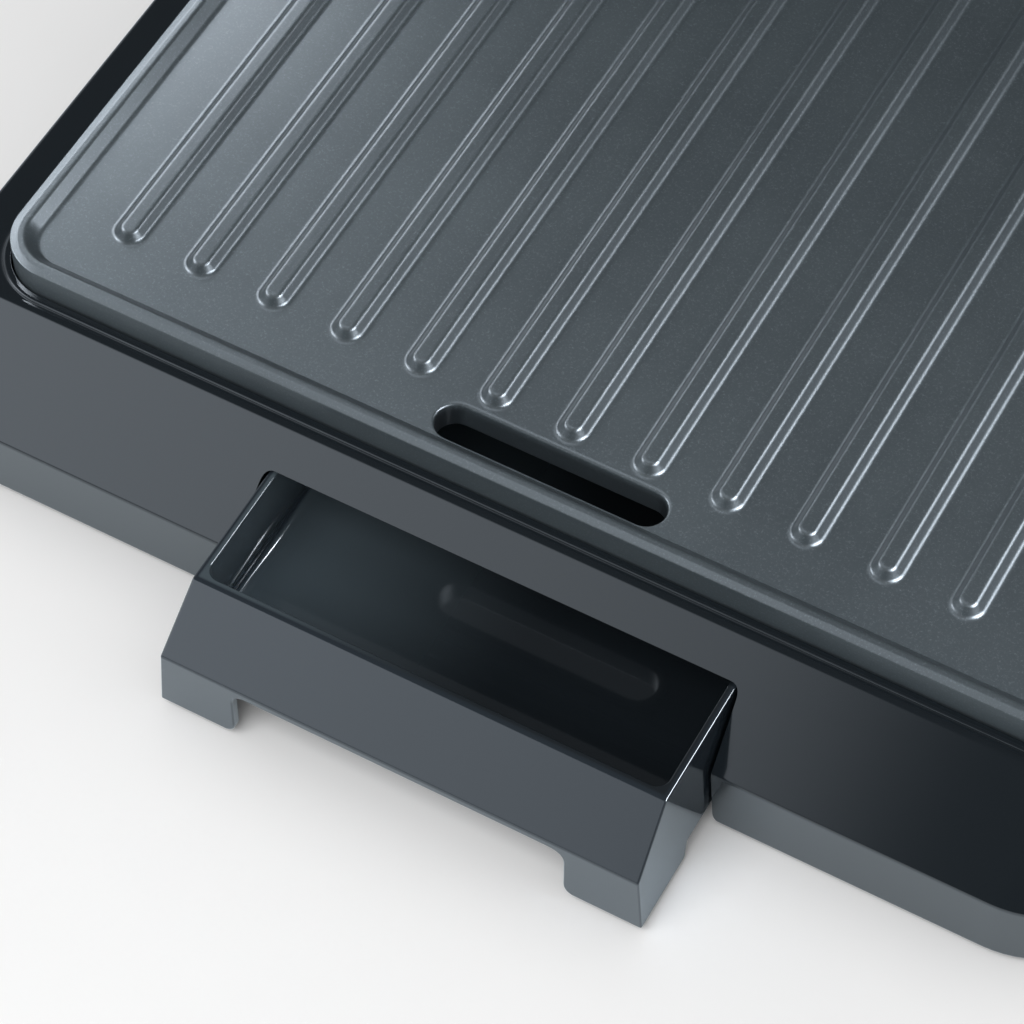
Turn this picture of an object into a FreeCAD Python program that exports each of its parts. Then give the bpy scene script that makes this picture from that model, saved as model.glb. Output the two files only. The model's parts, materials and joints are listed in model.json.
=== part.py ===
import FreeCAD, Part
import math
import os

os.makedirs("parts", exist_ok=True)

# Contact grill with a hinged, floating lid and a pull-out drip tray.
# Millimetres. X runs along the grill's width, Y from the front to the back, Z up.
# While modelling, z = 0 is the floor of the lower cooking plate and y = 0 is the fold
# where that floor meets the front rim. The lid is drawn closed and then swung open,
# the tray is drawn pushed in. At the end everything is moved so that the origin is at
# the bottom centre of the whole grill, lid open and tray pulled out.

Vec = FreeCAD.Vector
X_AXIS = Vec(1, 0, 0)
Y_AXIS = Vec(0, 1, 0)
Z_AXIS = Vec(0, 0, 1)

# Cooking plates
plate_half_width = 145.2
plate_front = -6.1
plate_depth = 230.0
plate_corner = 14.0
plate_wall = 3.5
plate_wall_below = 8.0
floor_thickness = 4.0
rim_height = 3.0
rim_flat = 3.6
rim_slope = 2.8
rib_count = 13
rib_pitch = 20.0
rib_base_width = 7.4
rib_top_width = 4.0
rib_height = 2.6
rib_front = 13.8
plates_apart = 6.6
boss_radius = 4.5
boss_end = -13.0
boss_x = 115.0
boss_y = (22.0, 195.0)
boss_hole = 1.8
boss_hole_top = -5.5

# Drain slot of the lower plate
slot_half_length = 29.8
slot_width = 10.0
slot_y = 5.9
chute_wall = 2.0
chute_bottom = -7.6

# Heaters: a bent tube with two pins, held by three clamps over a pan
heater_radius = 3.25
heater_z = -7.6
heater_bend = 14.0
heater_x = {"pins": 25.0, "middle": 75.0, "outer": 120.0}
heater_y = {"pins": 200.0, "end": 203.0, "turn": 60.0, "back": 185.0, "front": 35.0}
pin_radius = 2.4
pin_end = -20.0
clamp_y = 120.0
strap_half_length = 11.0
strap_half_width = 5.0
strap_bottom = -12.2
strap_top = -11.1
rivet_radius = 2.2
rivet_offset = 7.5
sheet = 0.8
pan_half_width = 138.0
pan_front = 16.0
pan_back = 214.0
pan_corner = 8.0
pan_wall_top = -8.2
pin_hole = 3.6
pan_screw_hole = 2.2

# Base housing
wall = 2.4
lip_gap = 0.4
lip_width = 2.0
lip_top = -4.5
deck_top = -5.5
deck_half_width = 157.6
deck_front = -10.3
deck_back = 281.0
deck_corner = 17.8
crease_z = -28.7
crease_half_width = 160.0
crease_front = -33.8
crease_back = 294.0
crease_corner = 28.0
inner_crease_drop = 1.0
skirt_bottom = -47.8
floor_level = -50.0
boss_top = -8.0
base_boss_radius = 4.5
base_screws = ((152.0, 40.0), (152.0, 215.0), (60.0, 281.0))

# Base cover, its posts under the plate, feet and vents
cover_bottom = -46.6
cover_thickness = 2.0
cover_gap = 0.3
post_radius = 6.5
post_bore = 4.4
foot_places = {"front": -8.0, "rear": 266.0}
foot_x = 145.0
foot_radius = 10.0
foot_stem = 3.9
foot_hole = 4.0
vent_count = 7
vent_x = 98.0
vent_first_y = 60.0
vent_pitch = 12.0
vent_half_length = 17.0
vent_half_width = 1.5
stop_x = (22.0, 38.0)
stop_top = -34.0

# Drip tray, drawn pushed in
tray_top = -14.4
tray_bottom = -42.9
tray_foot_bottom = -47.6
tray_foot_length = 21.3
tray_top_half_width = 61.1
tray_flare = 0.07
tray_wall = 2.0
tray_band = 2.5
tray_back = 105.0
tray_pull = 33.0
tray_clearance = 1.0
tray_edge = 0.8
tray_block_half_width = 70.0
finger_half_width = 43.3
finger_top = -30.9
opening_back = 4.0
guide_inner_x = 56.0
guide_wall = 2.0
guide_y = (-3.0, 112.0)
guide_top = -30.0

# Lid
lid_half_width = 152.0
lid_front = -13.0
lid_back = 231.0
lid_corner = 20.0
lid_bottom = 5.5
lid_shoulder = 24.0
lid_top = 50.0
top_half_width = 132.0
top_front = 21.0
top_back = 211.0
top_corner = 12.0
panel_inset = 5.0
panel_thickness = 1.2
frame_lift = 0.7
frame_thickness = 2.0
frame_upstand = 5.0
ear_top = 19.0
ear_half_length = 8.0
open_angle = 100.0

# Hinge
pivot_y = 262.0
pivot_z = 20.0
rod_radius = 4.0
rod_half_length = 132.0
running_gap = 0.05
float_travel = 14.0
arm_inner = 96.0
arm_outer = 116.0
arm_hub = 11.0
arm_bottom = 7.0
sleeve_radius = 7.0
tower_inner = 118.0
tower_outer = 142.0
tower_radius = 13.0
tower_flare = 4.0
tower_flare_height = 16.0
block_half_width = 5.0
block_half_height = 7.0
block_gap = 0.1

# Handle
grip_y = -62.0
grip_z = 28.0
grip_half_length = 111.8
grip_half_depth = 13.0
grip_half_height = 10.5
handle_inner = 112.0
handle_outer = 126.0
handle_hub = 13.5
handle_root = (8.5, 22.8)
cap_radius = 9.0
cap_thickness = 1.6
cap_plug_radius = 4.9
cap_plug_length = 1.8
grip_screw_seat = 5.0
grip_hole_depth = 22.0

# Controls on the lid's sloping front
knob_radius = 15.0
knob_flange = 16.5
knob_height = 14.0
knob_lift = 0.8
flange_top = 3.2
bar_half_width = 3.0
bar_height = 4.0
shaft_radius = 3.0
shaft_gap = 0.06
shaft_hole = 5.5
knob_rest_angle = 135.0
thermostat_size = (22.0, 22.0, 10.0)
thermostat_depth = 13.0
lamp_x = 36.0
lamp_radius = 4.0
lamp_dome_radius = 6.2
lamp_rise = 1.6
lamp_body_radius = 3.0

# Wiring: bush for the cord, terminals, overheat switch and fuse under the pan
gland_x = -120.0
gland_z = -37.5
gland_bore = 3.75
gland_neck = 5.9
terminal_x = (102.0, 114.0, 126.0)
terminal_y = (236.0, 252.0)
terminal_z = -37.0
terminal_top = -31.0
switch_x = 92.0
switch_y = 112.0
fuse_x = -92.0
fuse_y = (84.0, 116.0)
fuse_radius = 3.4
lead_radius = 1.3

# Screws: radii of shank, head and the recess in the head, height of the head
pilot_hole = 1.65
clearance_hole = 1.9
case_screw = {"shank": 1.6, "head": 3.0, "recess": 1.5, "height": 2.0}
plate_screw = {"shank": 1.75, "head": 3.5, "recess": 1.6, "height": 2.4}
handle_screw = {"shank": 2.0, "head": 3.4, "recess": 1.6, "height": 2.0}
grip_screw = {"shank": 2.05, "head": 4.2, "recess": 2.0, "height": 3.0}
tower_screw_places = ((124.0, 252.0), (136.0, 272.0))
arm_screw_places = ((106.0, 12.0), (106.0, 19.6))
frame_screw_x = 144.5
frame_screw_y = (60.0, 165.0)
handle_screw_x = 119.0
handle_screw_z = 16.0

# Worked out from the sizes above
plate_back = plate_front + plate_depth
cover_top = cover_bottom + cover_thickness
pan_bottom = boss_end - sheet
pivot = Vec(0, pivot_y, pivot_z)
slope_run = top_front - lid_front
slope_rise = lid_top - lid_shoulder
slope_length = math.hypot(slope_run, slope_rise)
slope_normal = Vec(0, -slope_rise / slope_length, slope_run / slope_length)
slope_angle = math.degrees(math.atan2(slope_rise, slope_run))
slope_middle = Vec(0, (top_front + lid_front) / 2, (lid_top + lid_shoulder) / 2)


def box(x0, x1, y0, y1, z0, z1):
    return Part.makeBox(x1 - x0, y1 - y0, z1 - z0, Vec(x0, y0, z0))


def rod(radius, start, end):
    return Part.makeCylinder(radius, (end - start).Length, start, end - start)


def both_sides(shape):
    return [shape, shape.mirror(Vec(0, 0, 0), X_AXIS)]


def upright(radius, x, y, low, high):
    """Upright round bar and its twin on the other side."""
    return both_sides(rod(radius, Vec(x, y, low), Vec(x, y, high)))


def along_y(radius, x, z, start, end):
    """Round bar along Y and its twin on the other side."""
    return both_sides(rod(radius, Vec(x, start, z), Vec(x, end, z)))


def across(radius, start, end, y, z):
    """Round bar along X."""
    return rod(radius, Vec(start, y, z), Vec(end, y, z))


def screw(kind, seat, inward, length):
    """Screw whose head stands on its seat, with the shank running inward."""
    crown = seat - inward * kind["height"]
    head = rod(kind["head"], crown, seat)
    shank = rod(kind["shank"], seat, seat + inward * length)
    recess = rod(kind["recess"], crown, crown + inward * kind["height"] / 2)
    return head.fuse(shank).cut(recess)


def rounded_loop(points, place):
    """Closed wire through 2D points given as (u, v, corner radius)."""
    edges = []
    spots = []
    count = len(points)
    for i in range(count):
        u, v, radius = points[i]
        here = Vec(u, v, 0)
        before = Vec(points[i - 1][0], points[i - 1][1], 0) - here
        after = Vec(points[(i + 1) % count][0], points[(i + 1) % count][1], 0) - here
        before.normalize()
        after.normalize()
        if radius == 0:
            spots.append((here, None, here))
            continue
        half = before.getAngle(after) / 2
        reach = radius / math.tan(half)
        middle = before + after
        middle.normalize()
        crown = here + middle * (radius / math.sin(half) - radius)
        spots.append((here + before * reach, crown, here + after * reach))
    for i in range(count):
        start, crown, end = spots[i]
        if crown is not None:
            edges.append(Part.Arc(place(start), place(crown), place(end)).toShape())
        following = spots[(i + 1) % count][0]
        if (following - end).Length > 1e-6:
            edges.append(Part.LineSegment(place(end), place(following)).toShape())
    return Part.Wire(edges)


def at_height(z):
    return lambda p: Vec(p.x, p.y, z)


def at_depth(y):
    return lambda p: Vec(p.x, y, p.y)


def at_side(x):
    return lambda p: Vec(x, p.x, p.y)


def rectangle(x0, x1, y0, y1, radius, z):
    corners = [(x0, y0, radius), (x1, y0, radius), (x1, y1, radius), (x0, y1, radius)]
    return rounded_loop(corners, at_height(z))


def slab(wire, height):
    return Part.Face(wire).extrude(Vec(0, 0, height))


def taper(low, high):
    return Part.makeLoft([low, high], True, True)


def side_profile(points, x0, x1):
    """Solid from an outline in the YZ plane, drawn from x0 to x1."""
    return Part.Face(rounded_loop(points, at_side(x0))).extrude(Vec(x1 - x0, 0, 0))


def front_profile(points, y0, y1):
    """Solid from an outline in the XZ plane, drawn from y0 to y1."""
    return Part.Face(rounded_loop(points, at_depth(y0))).extrude(Vec(0, y1 - y0, 0))


def bent_tube(points, radius, bend):
    """Round bar along straight runs joined by arcs."""
    edges = []
    last = points[0]
    for i in range(1, len(points) - 1):
        here = points[i]
        back = points[i - 1] - here
        on = points[i + 1] - here
        back.normalize()
        on.normalize()
        half = back.getAngle(on) / 2
        reach = bend / math.tan(half)
        middle = back + on
        middle.normalize()
        start = here + back * reach
        end = here + on * reach
        crown = here + middle * (bend / math.sin(half) - bend)
        edges.append(Part.LineSegment(last, start).toShape())
        edges.append(Part.Arc(start, crown, end).toShape())
        last = end
    edges.append(Part.LineSegment(last, points[-1]).toShape())
    path = Part.Wire(edges)
    ring = Part.Wire(Part.Circle(points[0], points[1] - points[0], radius).toShape())
    return path.makePipeShell([ring], True, False)


def plate_rectangle(inset, z):
    """Outline of the cooking plate, drawn in by an inset or out by a negative one."""
    return rectangle(-plate_half_width + inset, plate_half_width - inset,
                     plate_front + inset, plate_back - inset, plate_corner - inset, z)


def stadium(half_length, half_width, x, y, z, along_x):
    """Rounded slot outline; half_length is measured over the round ends."""
    radius = half_width - 0.001
    if along_x:
        return rectangle(x - half_length, x + half_length, y - half_width, y + half_width, radius, z)
    return rectangle(x - half_width, x + half_width, y - half_length, y + half_length, radius, z)


def cooking_plate(with_slot):
    plate = slab(plate_rectangle(0, -plate_wall_below), plate_wall_below + rim_height)
    recess = taper(plate_rectangle(rim_flat + rim_slope, 0), plate_rectangle(rim_flat, rim_height))
    underside = slab(plate_rectangle(plate_wall, -plate_wall_below), plate_wall_below - floor_thickness)
    plate = plate.cut([recess, underside])
    rib_back = plate_back + plate_front - rib_front
    middle = (rib_front + rib_back) / 2
    reach = (rib_back - rib_front) / 2
    narrowing = (rib_base_width - rib_top_width) / 2
    added = []
    for i in range(rib_count):
        x = (i - (rib_count - 1) / 2) * rib_pitch
        foot = stadium(reach, rib_base_width / 2, x, middle, 0, False)
        crest = stadium(reach - narrowing, rib_top_width / 2, x, middle, rib_height, False)
        added.append(taper(foot, crest))
    holes = []
    for y in boss_y:
        added += upright(boss_radius, boss_x, y, boss_end, -floor_thickness)
        holes += upright(boss_hole, boss_x, y, boss_end, boss_hole_top)
    if with_slot:
        chute = stadium(slot_half_length + chute_wall, slot_width / 2 + chute_wall, 0, slot_y,
                        chute_bottom, True)
        added.append(slab(chute, -floor_thickness - chute_bottom))
        opening = stadium(slot_half_length, slot_width / 2, 0, slot_y, chute_bottom - 1, True)
        holes.append(slab(opening, 2 - chute_bottom))
    return plate.fuse(added).cut(holes).removeSplitter()


def heater():
    """Bent tubular heater with its two pins passing down through the pan."""
    half = [(heater_x["pins"], heater_y["end"]), (heater_x["pins"], heater_y["turn"]),
            (heater_x["middle"], heater_y["turn"]), (heater_x["middle"], heater_y["back"]),
            (heater_x["outer"], heater_y["back"]), (heater_x["outer"], heater_y["front"])]
    points = [Vec(x, y, heater_z) for x, y in half]
    points += [Vec(-x, y, heater_z) for x, y in reversed(half)]
    tube = bent_tube(points, heater_radius, heater_bend)
    pins = upright(pin_radius, heater_x["pins"], heater_y["pins"], pin_end, heater_z)
    return tube.fuse(pins).removeSplitter()


def heater_clamps():
    clamps = []
    for x, y, turn in ((-heater_x["middle"], clamp_y, 0), (heater_x["middle"], clamp_y, 0),
                       (0, heater_y["front"], 90)):
        strap = box(-strap_half_length, strap_half_length, -strap_half_width, strap_half_width,
                    strap_bottom, strap_top)
        rivets = upright(rivet_radius, rivet_offset, 0, strap_top, -floor_thickness)
        clamp = strap.fuse(rivets)
        clamp.rotate(Vec(0, 0, 0), Z_AXIS, turn)
        clamp.translate(Vec(x, y, 0))
        clamps.append(clamp)
    return Part.makeCompound(clamps)


def heat_pan():
    """Reflector pan that closes the heater in under the plate."""
    outer = slab(rectangle(-pan_half_width, pan_half_width, pan_front, pan_back, pan_corner, pan_bottom),
                 pan_wall_top - pan_bottom)
    inner = slab(rectangle(-pan_half_width + sheet, pan_half_width - sheet, pan_front + sheet,
                           pan_back - sheet, pan_corner - sheet, boss_end), pan_wall_top - boss_end)
    holes = upright(pin_hole, heater_x["pins"], heater_y["pins"], pan_bottom - 1, boss_end + 1)
    for y in boss_y:
        holes += upright(pan_screw_hole, boss_x, y, pan_bottom - 1, boss_end + 1)
    return outer.cut([inner] + holes)


def plate_screws():
    length = boss_hole_top - 1 - pan_bottom
    screws = []
    for y in boss_y:
        screws += both_sides(screw(plate_screw, Vec(boss_x, y, pan_bottom), Z_AXIS, length))
    return Part.makeCompound(screws)


def turned_over(shape):
    """The same piece above the gap between the two plates, upside down."""
    flipped = shape.mirror(Vec(0, 0, 0), Z_AXIS)
    flipped.translate(Vec(0, 0, plates_apart))
    return flipped


def tray_width(z):
    """Half the tray's width at a height; it flares towards the bottom."""
    return tray_top_half_width + (tray_top - z) * tray_flare


def flared_block(inset, high, low, y0, y1, soft=0):
    wide = tray_width(low) - inset
    narrow = tray_width(high) - inset
    outline = [(-narrow, high, soft), (narrow, high, soft), (wide, low, soft), (-wide, low, soft)]
    return front_profile(outline, y0, y1)


def arched_gap(high, low, half_width, top_radius, low_radius, y0, y1):
    """Gap open at the bottom, with a round corner above and a rounded-off edge below each side."""
    wide = half_width(low)
    narrow = half_width(high)
    outline = [(-narrow, high, top_radius), (narrow, high, top_radius), (wide, low, low_radius),
               (wide + 8, low, 0), (wide + 8, low - 4, 0), (-wide - 8, low - 4, 0), (-wide - 8, low, 0),
               (-wide, low, low_radius)]
    return front_profile(outline, y0, y1)


def base_outline_solid():
    deck = rectangle(-deck_half_width, deck_half_width, deck_front, deck_back, deck_corner, deck_top)
    crease = rectangle(-crease_half_width, crease_half_width, crease_front, crease_back,
                       crease_corner, crease_z)
    skirt = slab(crease, skirt_bottom - crease_z)
    return taper(crease, deck).fuse(skirt)


def inner_offset(run):
    """Inset of the cavity under the deck beside a wall that spreads by a run down to the crease."""
    slope = run / (deck_top - crease_z)
    return wall * (math.hypot(1, slope) - slope)


def base_cavity():
    side = inner_offset(crease_half_width - deck_half_width)
    front = inner_offset(deck_front - crease_front)
    back = inner_offset(crease_back - deck_back)
    upper = rectangle(-deck_half_width + side, deck_half_width - side, deck_front + front,
                      deck_back - back, deck_corner - wall, deck_top - wall)
    lower = rectangle(-crease_half_width + wall, crease_half_width - wall, crease_front + wall,
                      crease_back - wall, crease_corner - wall, crease_z - inner_crease_drop)
    return taper(lower, upper).fuse(slab(lower, skirt_bottom - crease_z))


def tray_opening():
    """Opening for the tray through the apron and skirt, with flared sides."""
    def half_width(z):
        return tray_width(z) + tray_clearance

    return arched_gap(tray_top + tray_clearance, skirt_bottom, half_width, 3.4, 4.0,
                      crease_front - 10, opening_back)


def base_housing():
    outer = base_outline_solid()
    lip = slab(plate_rectangle(-lip_gap - lip_width, deck_top - 0.2), lip_top - deck_top + 0.2)
    well = slab(plate_rectangle(-lip_gap, deck_top - 10), 20)
    shell = outer.fuse(lip).cut([base_cavity(), well])
    bosses = []
    holes = []
    for x, y in base_screws:
        low = cover_top + 0.05
        bosses += upright(base_boss_radius, x, y, low, boss_top)
        holes += upright(pilot_hole, x, y, low, low + 12)
    shell = shell.fuse([boss.common(outer) for boss in bosses])
    outlet = Vec(gland_x, crease_back, gland_z)
    holes.append(rod(gland_neck + 0.1, outlet - Y_AXIS * 10, outlet + Y_AXIS * 5))
    for x, y in tower_screw_places:
        holes += upright(clearance_hole, x, y, deck_top - 5, deck_top + 1)
    return shell.cut([tray_opening()] + holes).removeSplitter()


def base_cover():
    inset = wall + cover_gap
    outline = rectangle(-crease_half_width + inset, crease_half_width - inset, crease_front + inset,
                        crease_back - inset, crease_corner - inset, cover_bottom)
    added = both_sides(box(*stop_x, tray_back + 0.6, tray_back + 4, cover_top, stop_top))
    notch = tray_width(tray_foot_bottom) + 1.2
    notch_back = crease_front + tray_foot_length + 4
    cut = [box(-notch, notch, crease_front - 5, notch_back, floor_level, cover_top + 1)]
    for y in boss_y:
        added += upright(post_radius, boss_x, y, cover_top, pan_bottom - 0.1)
        cut += upright(post_bore, boss_x, y, cover_bottom - 1, -10)
    for x, y in base_screws:
        cut += upright(clearance_hole, x, y, cover_bottom - 1, cover_top + 1)
    for y in foot_places.values():
        cut += upright(foot_hole, foot_x, y, cover_bottom - 1, cover_top + 1)
    for i in range(vent_count):
        vent = stadium(vent_half_length, vent_half_width, vent_x, vent_first_y + i * vent_pitch,
                       cover_bottom - 1, True)
        cut += both_sides(slab(vent, cover_thickness + 2))
    return slab(outline, cover_thickness).fuse(added).cut(cut).removeSplitter()


def base_screw_set():
    screws = []
    for x, y in base_screws:
        screws += both_sides(screw(case_screw, Vec(x, y, cover_bottom), Z_AXIS, 12))
    return Part.makeCompound(screws)


def foot(x, y):
    pad = rod(foot_radius, Vec(x, y, floor_level), Vec(x, y, cover_bottom))
    stem = rod(foot_stem, Vec(x, y, cover_bottom), Vec(x, y, cover_top + 1.5))
    return pad.fuse(stem).removeSplitter()


def drip_tray():
    apron_slope = (deck_front - crease_front) / (deck_top - crease_z)
    front_top = crease_front + (tray_top - crease_z) * apron_slope
    heel = crease_front + tray_foot_length
    side = tray_block_half_width
    body = side_profile([(front_top, tray_top, 0), (crease_front, crease_z, 0),
                         (crease_front, tray_foot_bottom, 0), (heel, tray_foot_bottom, 2),
                         (heel + 1.5, tray_bottom, 1), (tray_back - 2, tray_bottom, 3),
                         (tray_back, tray_top, 0)], -side, side)
    body = body.common(flared_block(0, tray_top, tray_foot_bottom, crease_front, tray_back, tray_edge))
    wall_inner = front_top + tray_wall
    basin_floor = tray_bottom + tray_wall
    basin = side_profile([(wall_inner, tray_top + 1, 0), (wall_inner + 1, basin_floor, 3),
                          (tray_back - 4, basin_floor, 4), (tray_back - 2, tray_top + 1, 0)], -side, side)
    basin = basin.common(flared_block(tray_wall, tray_top + 1, tray_bottom, crease_front, tray_back))
    slant = tray_wall * math.hypot(1, apron_slope)
    inner_band = crease_front + tray_band
    hollow = side_profile([(front_top, tray_top - slant, 0), (inner_band, crease_z + tray_band - slant, 0),
                           (inner_band, tray_foot_bottom - 2, 0), (heel + 3, tray_foot_bottom - 2, 0),
                           (heel + 3, tray_bottom, 0), (front_top + 1, tray_bottom, 0)], -side, side)
    hollow = hollow.common(flared_block(tray_wall, tray_top, tray_foot_bottom - 3, crease_front, tray_back))
    finger = arched_gap(finger_top, tray_foot_bottom, lambda z: finger_half_width, 5.5, 4.5,
                        crease_front - 1, inner_band + 0.5)
    tray = body.cut([basin, hollow, finger]).removeSplitter()
    tray.translate(Vec(0, -tray_pull, 0))
    return tray


def tray_guide():
    """Right-hand rail under and beside the tray."""
    inner = tray_width(tray_bottom) + 0.9
    outer = inner + guide_wall
    ledge = box(guide_inner_x, outer, *guide_y, cover_top, tray_bottom - 0.4)
    fence = box(inner, outer, *guide_y, cover_top, guide_top)
    return ledge.fuse(fence).removeSplitter()


def lid_outline_solid(inset, bottom, shoulder, top, top_inset):
    lower = rectangle(-lid_half_width + inset, lid_half_width - inset, lid_front + inset,
                      lid_back - inset, lid_corner - inset, shoulder)
    upper = rectangle(-top_half_width + top_inset, top_half_width - top_inset, top_front + top_inset,
                      top_back - top_inset, top_corner - top_inset, top)
    return taper(lower, upper).fuse(slab(lower, bottom - shoulder))


def on_slope(x, distance):
    """Point over the middle of the lid's sloping front, at a distance off it."""
    return slope_middle + Vec(x, 0, 0) + slope_normal * distance


def lid_shell():
    outer = lid_outline_solid(0, lid_bottom, lid_shoulder, lid_top, 0)
    cavity = lid_outline_solid(wall, lid_bottom, lid_shoulder - 0.6, lid_top - wall, 0.8)
    post_foot = plates_apart - pan_bottom + 0.1
    posts = []
    bores = []
    for y in boss_y:
        posts += upright(post_radius, boss_x, y, post_foot, lid_top - 1)
        bores += upright(post_bore, boss_x, y, post_foot - 1, post_foot + 12)
    for y in frame_screw_y:
        posts += upright(base_boss_radius, frame_screw_x, y, ear_top + 0.05, 40)
        bores += upright(pilot_hole, frame_screw_x, y, ear_top, ear_top + 9)
    posts = [post.common(outer) for post in posts]
    bores.append(rod(shaft_hole, on_slope(0, -6), on_slope(0, 3)))
    for x in (-lamp_x, lamp_x):
        bores.append(rod(lamp_radius + 0.1, on_slope(x, -6), on_slope(x, 3)))
    bores += along_y(handle_screw["shank"] + 0.2, handle_screw_x, handle_screw_z,
                     lid_front - 1, lid_front + 5)
    for x, z in arm_screw_places:
        bores += along_y(clearance_hole, x, z, lid_back - 5, lid_back + 1)
    return outer.cut(cavity).fuse(posts).cut(bores).removeSplitter()


def lid_frame():
    """Ring that closes the gap between the lid shell and the upper plate."""
    inset = wall + 0.3
    low = lid_bottom + frame_lift
    edge = lid_half_width - inset
    outer = rectangle(-edge, edge, lid_front + inset, lid_back - inset, lid_corner - inset, low)
    added = [slab(plate_rectangle(-2.2, low), frame_upstand)]
    holes = [slab(plate_rectangle(-0.6, low - 1), 10)]
    for y in frame_screw_y:
        near, far = y - ear_half_length, y + ear_half_length
        wing = box(frame_screw_x - 5, edge, near, far, ear_top - frame_thickness, ear_top)
        stem = box(frame_screw_x + 3.4, edge, near, far, low, ear_top)
        added += both_sides(wing.fuse(stem))
        holes += upright(clearance_hole, frame_screw_x, y, ear_top - 4, ear_top + 1)
    return slab(outer, frame_thickness).fuse(added).cut(holes).removeSplitter()


def frame_screw_set():
    screws = []
    for y in frame_screw_y:
        seat = Vec(frame_screw_x, y, ear_top - frame_thickness)
        screws += both_sides(screw(case_screw, seat, Z_AXIS, 10))
    return Part.makeCompound(screws)


def top_panel():
    wire = rectangle(-top_half_width + panel_inset, top_half_width - panel_inset, top_front + panel_inset,
                     top_back - panel_inset, top_corner - 2, lid_top)
    return slab(wire, panel_thickness)


def hinge_arm():
    """Right-hand arm from the lid's back wall to the hinge rod."""
    hub = across(arm_hub, arm_inner, arm_outer, pivot_y, pivot_z)
    back = lid_back + 0.05
    web = side_profile([(back, arm_bottom, 0), (back, lid_shoulder - 0.5, 0), (pivot_y, pivot_z + arm_hub, 0),
                        (pivot_y, pivot_z - arm_hub, 0)], arm_inner, arm_outer)
    bore = across(rod_radius + running_gap, arm_inner - 1, arm_outer + 1, pivot_y, pivot_z)
    holes = [rod(pilot_hole, Vec(x, back, z), Vec(x, back + 12, z)) for x, z in arm_screw_places]
    return hub.fuse(web).cut([bore] + holes).removeSplitter()


def arm_screw_set():
    screws = []
    for x, z in arm_screw_places:
        screws += both_sides(screw(case_screw, Vec(x, lid_back - wall, z), Y_AXIS, 13))
    return Part.makeCompound(screws)


def hinge_sleeve():
    outer = across(sleeve_radius, -arm_inner + 0.4, arm_inner - 0.4, pivot_y, pivot_z)
    return outer.cut(across(rod_radius + running_gap, -arm_inner, arm_inner, pivot_y, pivot_z))


def slide_block():
    """Right-hand block on the rod's end, which rides up and down in the tower's slot."""
    body = box(tower_inner + 2, rod_half_length, pivot_y - block_half_width, pivot_y + block_half_width,
               pivot_z - block_half_height, pivot_z + block_half_height)
    return body.cut(across(rod_radius, tower_inner, tower_outer, pivot_y, pivot_z))


def hinge_tower():
    """Right-hand tower on the base's back deck, with the upright slot for the rod."""
    crown = pivot_z + float_travel - 1
    low = deck_top + 0.05
    half = tower_radius
    bend = low + tower_flare_height
    front = pivot_y - half
    back = pivot_y + half
    top = crown + half
    body = side_profile([(front - tower_flare, low, 0), (front, bend, 8), (front, top, half - 0.01),
                         (back, top, half - 0.01), (back, bend, 8), (back + tower_flare, low, 0)],
                        tower_inner, tower_outer)
    side = block_half_width + block_gap
    end = block_half_height + 0.3
    slot = box(tower_inner - 1, rod_half_length + 0.6, pivot_y - side, pivot_y + side,
               pivot_z - end, pivot_z + end + float_travel)
    holes = [rod(pilot_hole, Vec(x, y, low), Vec(x, y, low + 12)) for x, y in tower_screw_places]
    return body.cut([slot] + holes)


def tower_screw_set():
    screws = []
    for x, y in tower_screw_places:
        screws += both_sides(screw(case_screw, Vec(x, y, deck_top - wall), Z_AXIS, 13))
    return Part.makeCompound(screws)


def handle_arm():
    """Right-hand arm from the lid's front wall to the grip."""
    hub = across(handle_hub, handle_inner, handle_outer, grip_y, grip_z)
    back = lid_front - 0.05
    root_low, root_high = handle_root
    web = side_profile([(back, root_low, 0), (back, root_high, 0), (grip_y - 2, grip_z + handle_hub - 1, 0),
                        (grip_y - 2, grip_z - handle_hub + 0.5, 0)], handle_inner, handle_outer)
    bore = across(grip_screw["shank"] + 0.25, handle_inner - 1, handle_outer + 1, grip_y, grip_z)
    recess = across(cap_plug_radius + 0.1, handle_outer - grip_screw_seat, handle_outer + 1, grip_y, grip_z)
    pilot = rod(handle_screw["shank"] + 0.1, Vec(handle_screw_x, back, handle_screw_z),
                Vec(handle_screw_x, back - 20, handle_screw_z))
    return hub.fuse(web).cut([bore, recess, pilot]).removeSplitter()


def handle_grip():
    ring = Part.Ellipse(Vec(0, 0, 0), grip_half_depth, grip_half_height).toShape()
    bar = Part.Face(Part.Wire(ring)).extrude(Vec(0, 0, 2 * grip_half_length))
    bar.rotate(Vec(0, 0, 0), Y_AXIS, 90)
    bar.rotate(Vec(0, 0, 0), X_AXIS, 90)
    bar.translate(Vec(-grip_half_length, grip_y, grip_z))
    hole = across(grip_screw["shank"] + 0.05, grip_half_length - grip_hole_depth,
                  grip_half_length + 1, grip_y, grip_z)
    return bar.cut(both_sides(hole))


def grip_screw_set():
    seat = Vec(handle_outer - grip_screw_seat, grip_y, grip_z)
    return Part.makeCompound(both_sides(screw(grip_screw, seat, -X_AXIS, 26)))


def grip_cap():
    plug = across(cap_plug_radius, handle_outer - cap_plug_length, handle_outer, grip_y, grip_z)
    disc = across(cap_radius, handle_outer, handle_outer + cap_thickness, grip_y, grip_z)
    return plug.fuse(disc).removeSplitter()


def handle_screw_set():
    seat = Vec(handle_screw_x, lid_front + wall, handle_screw_z)
    return Part.makeCompound(both_sides(screw(handle_screw, seat, -Y_AXIS, 20)))


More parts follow.
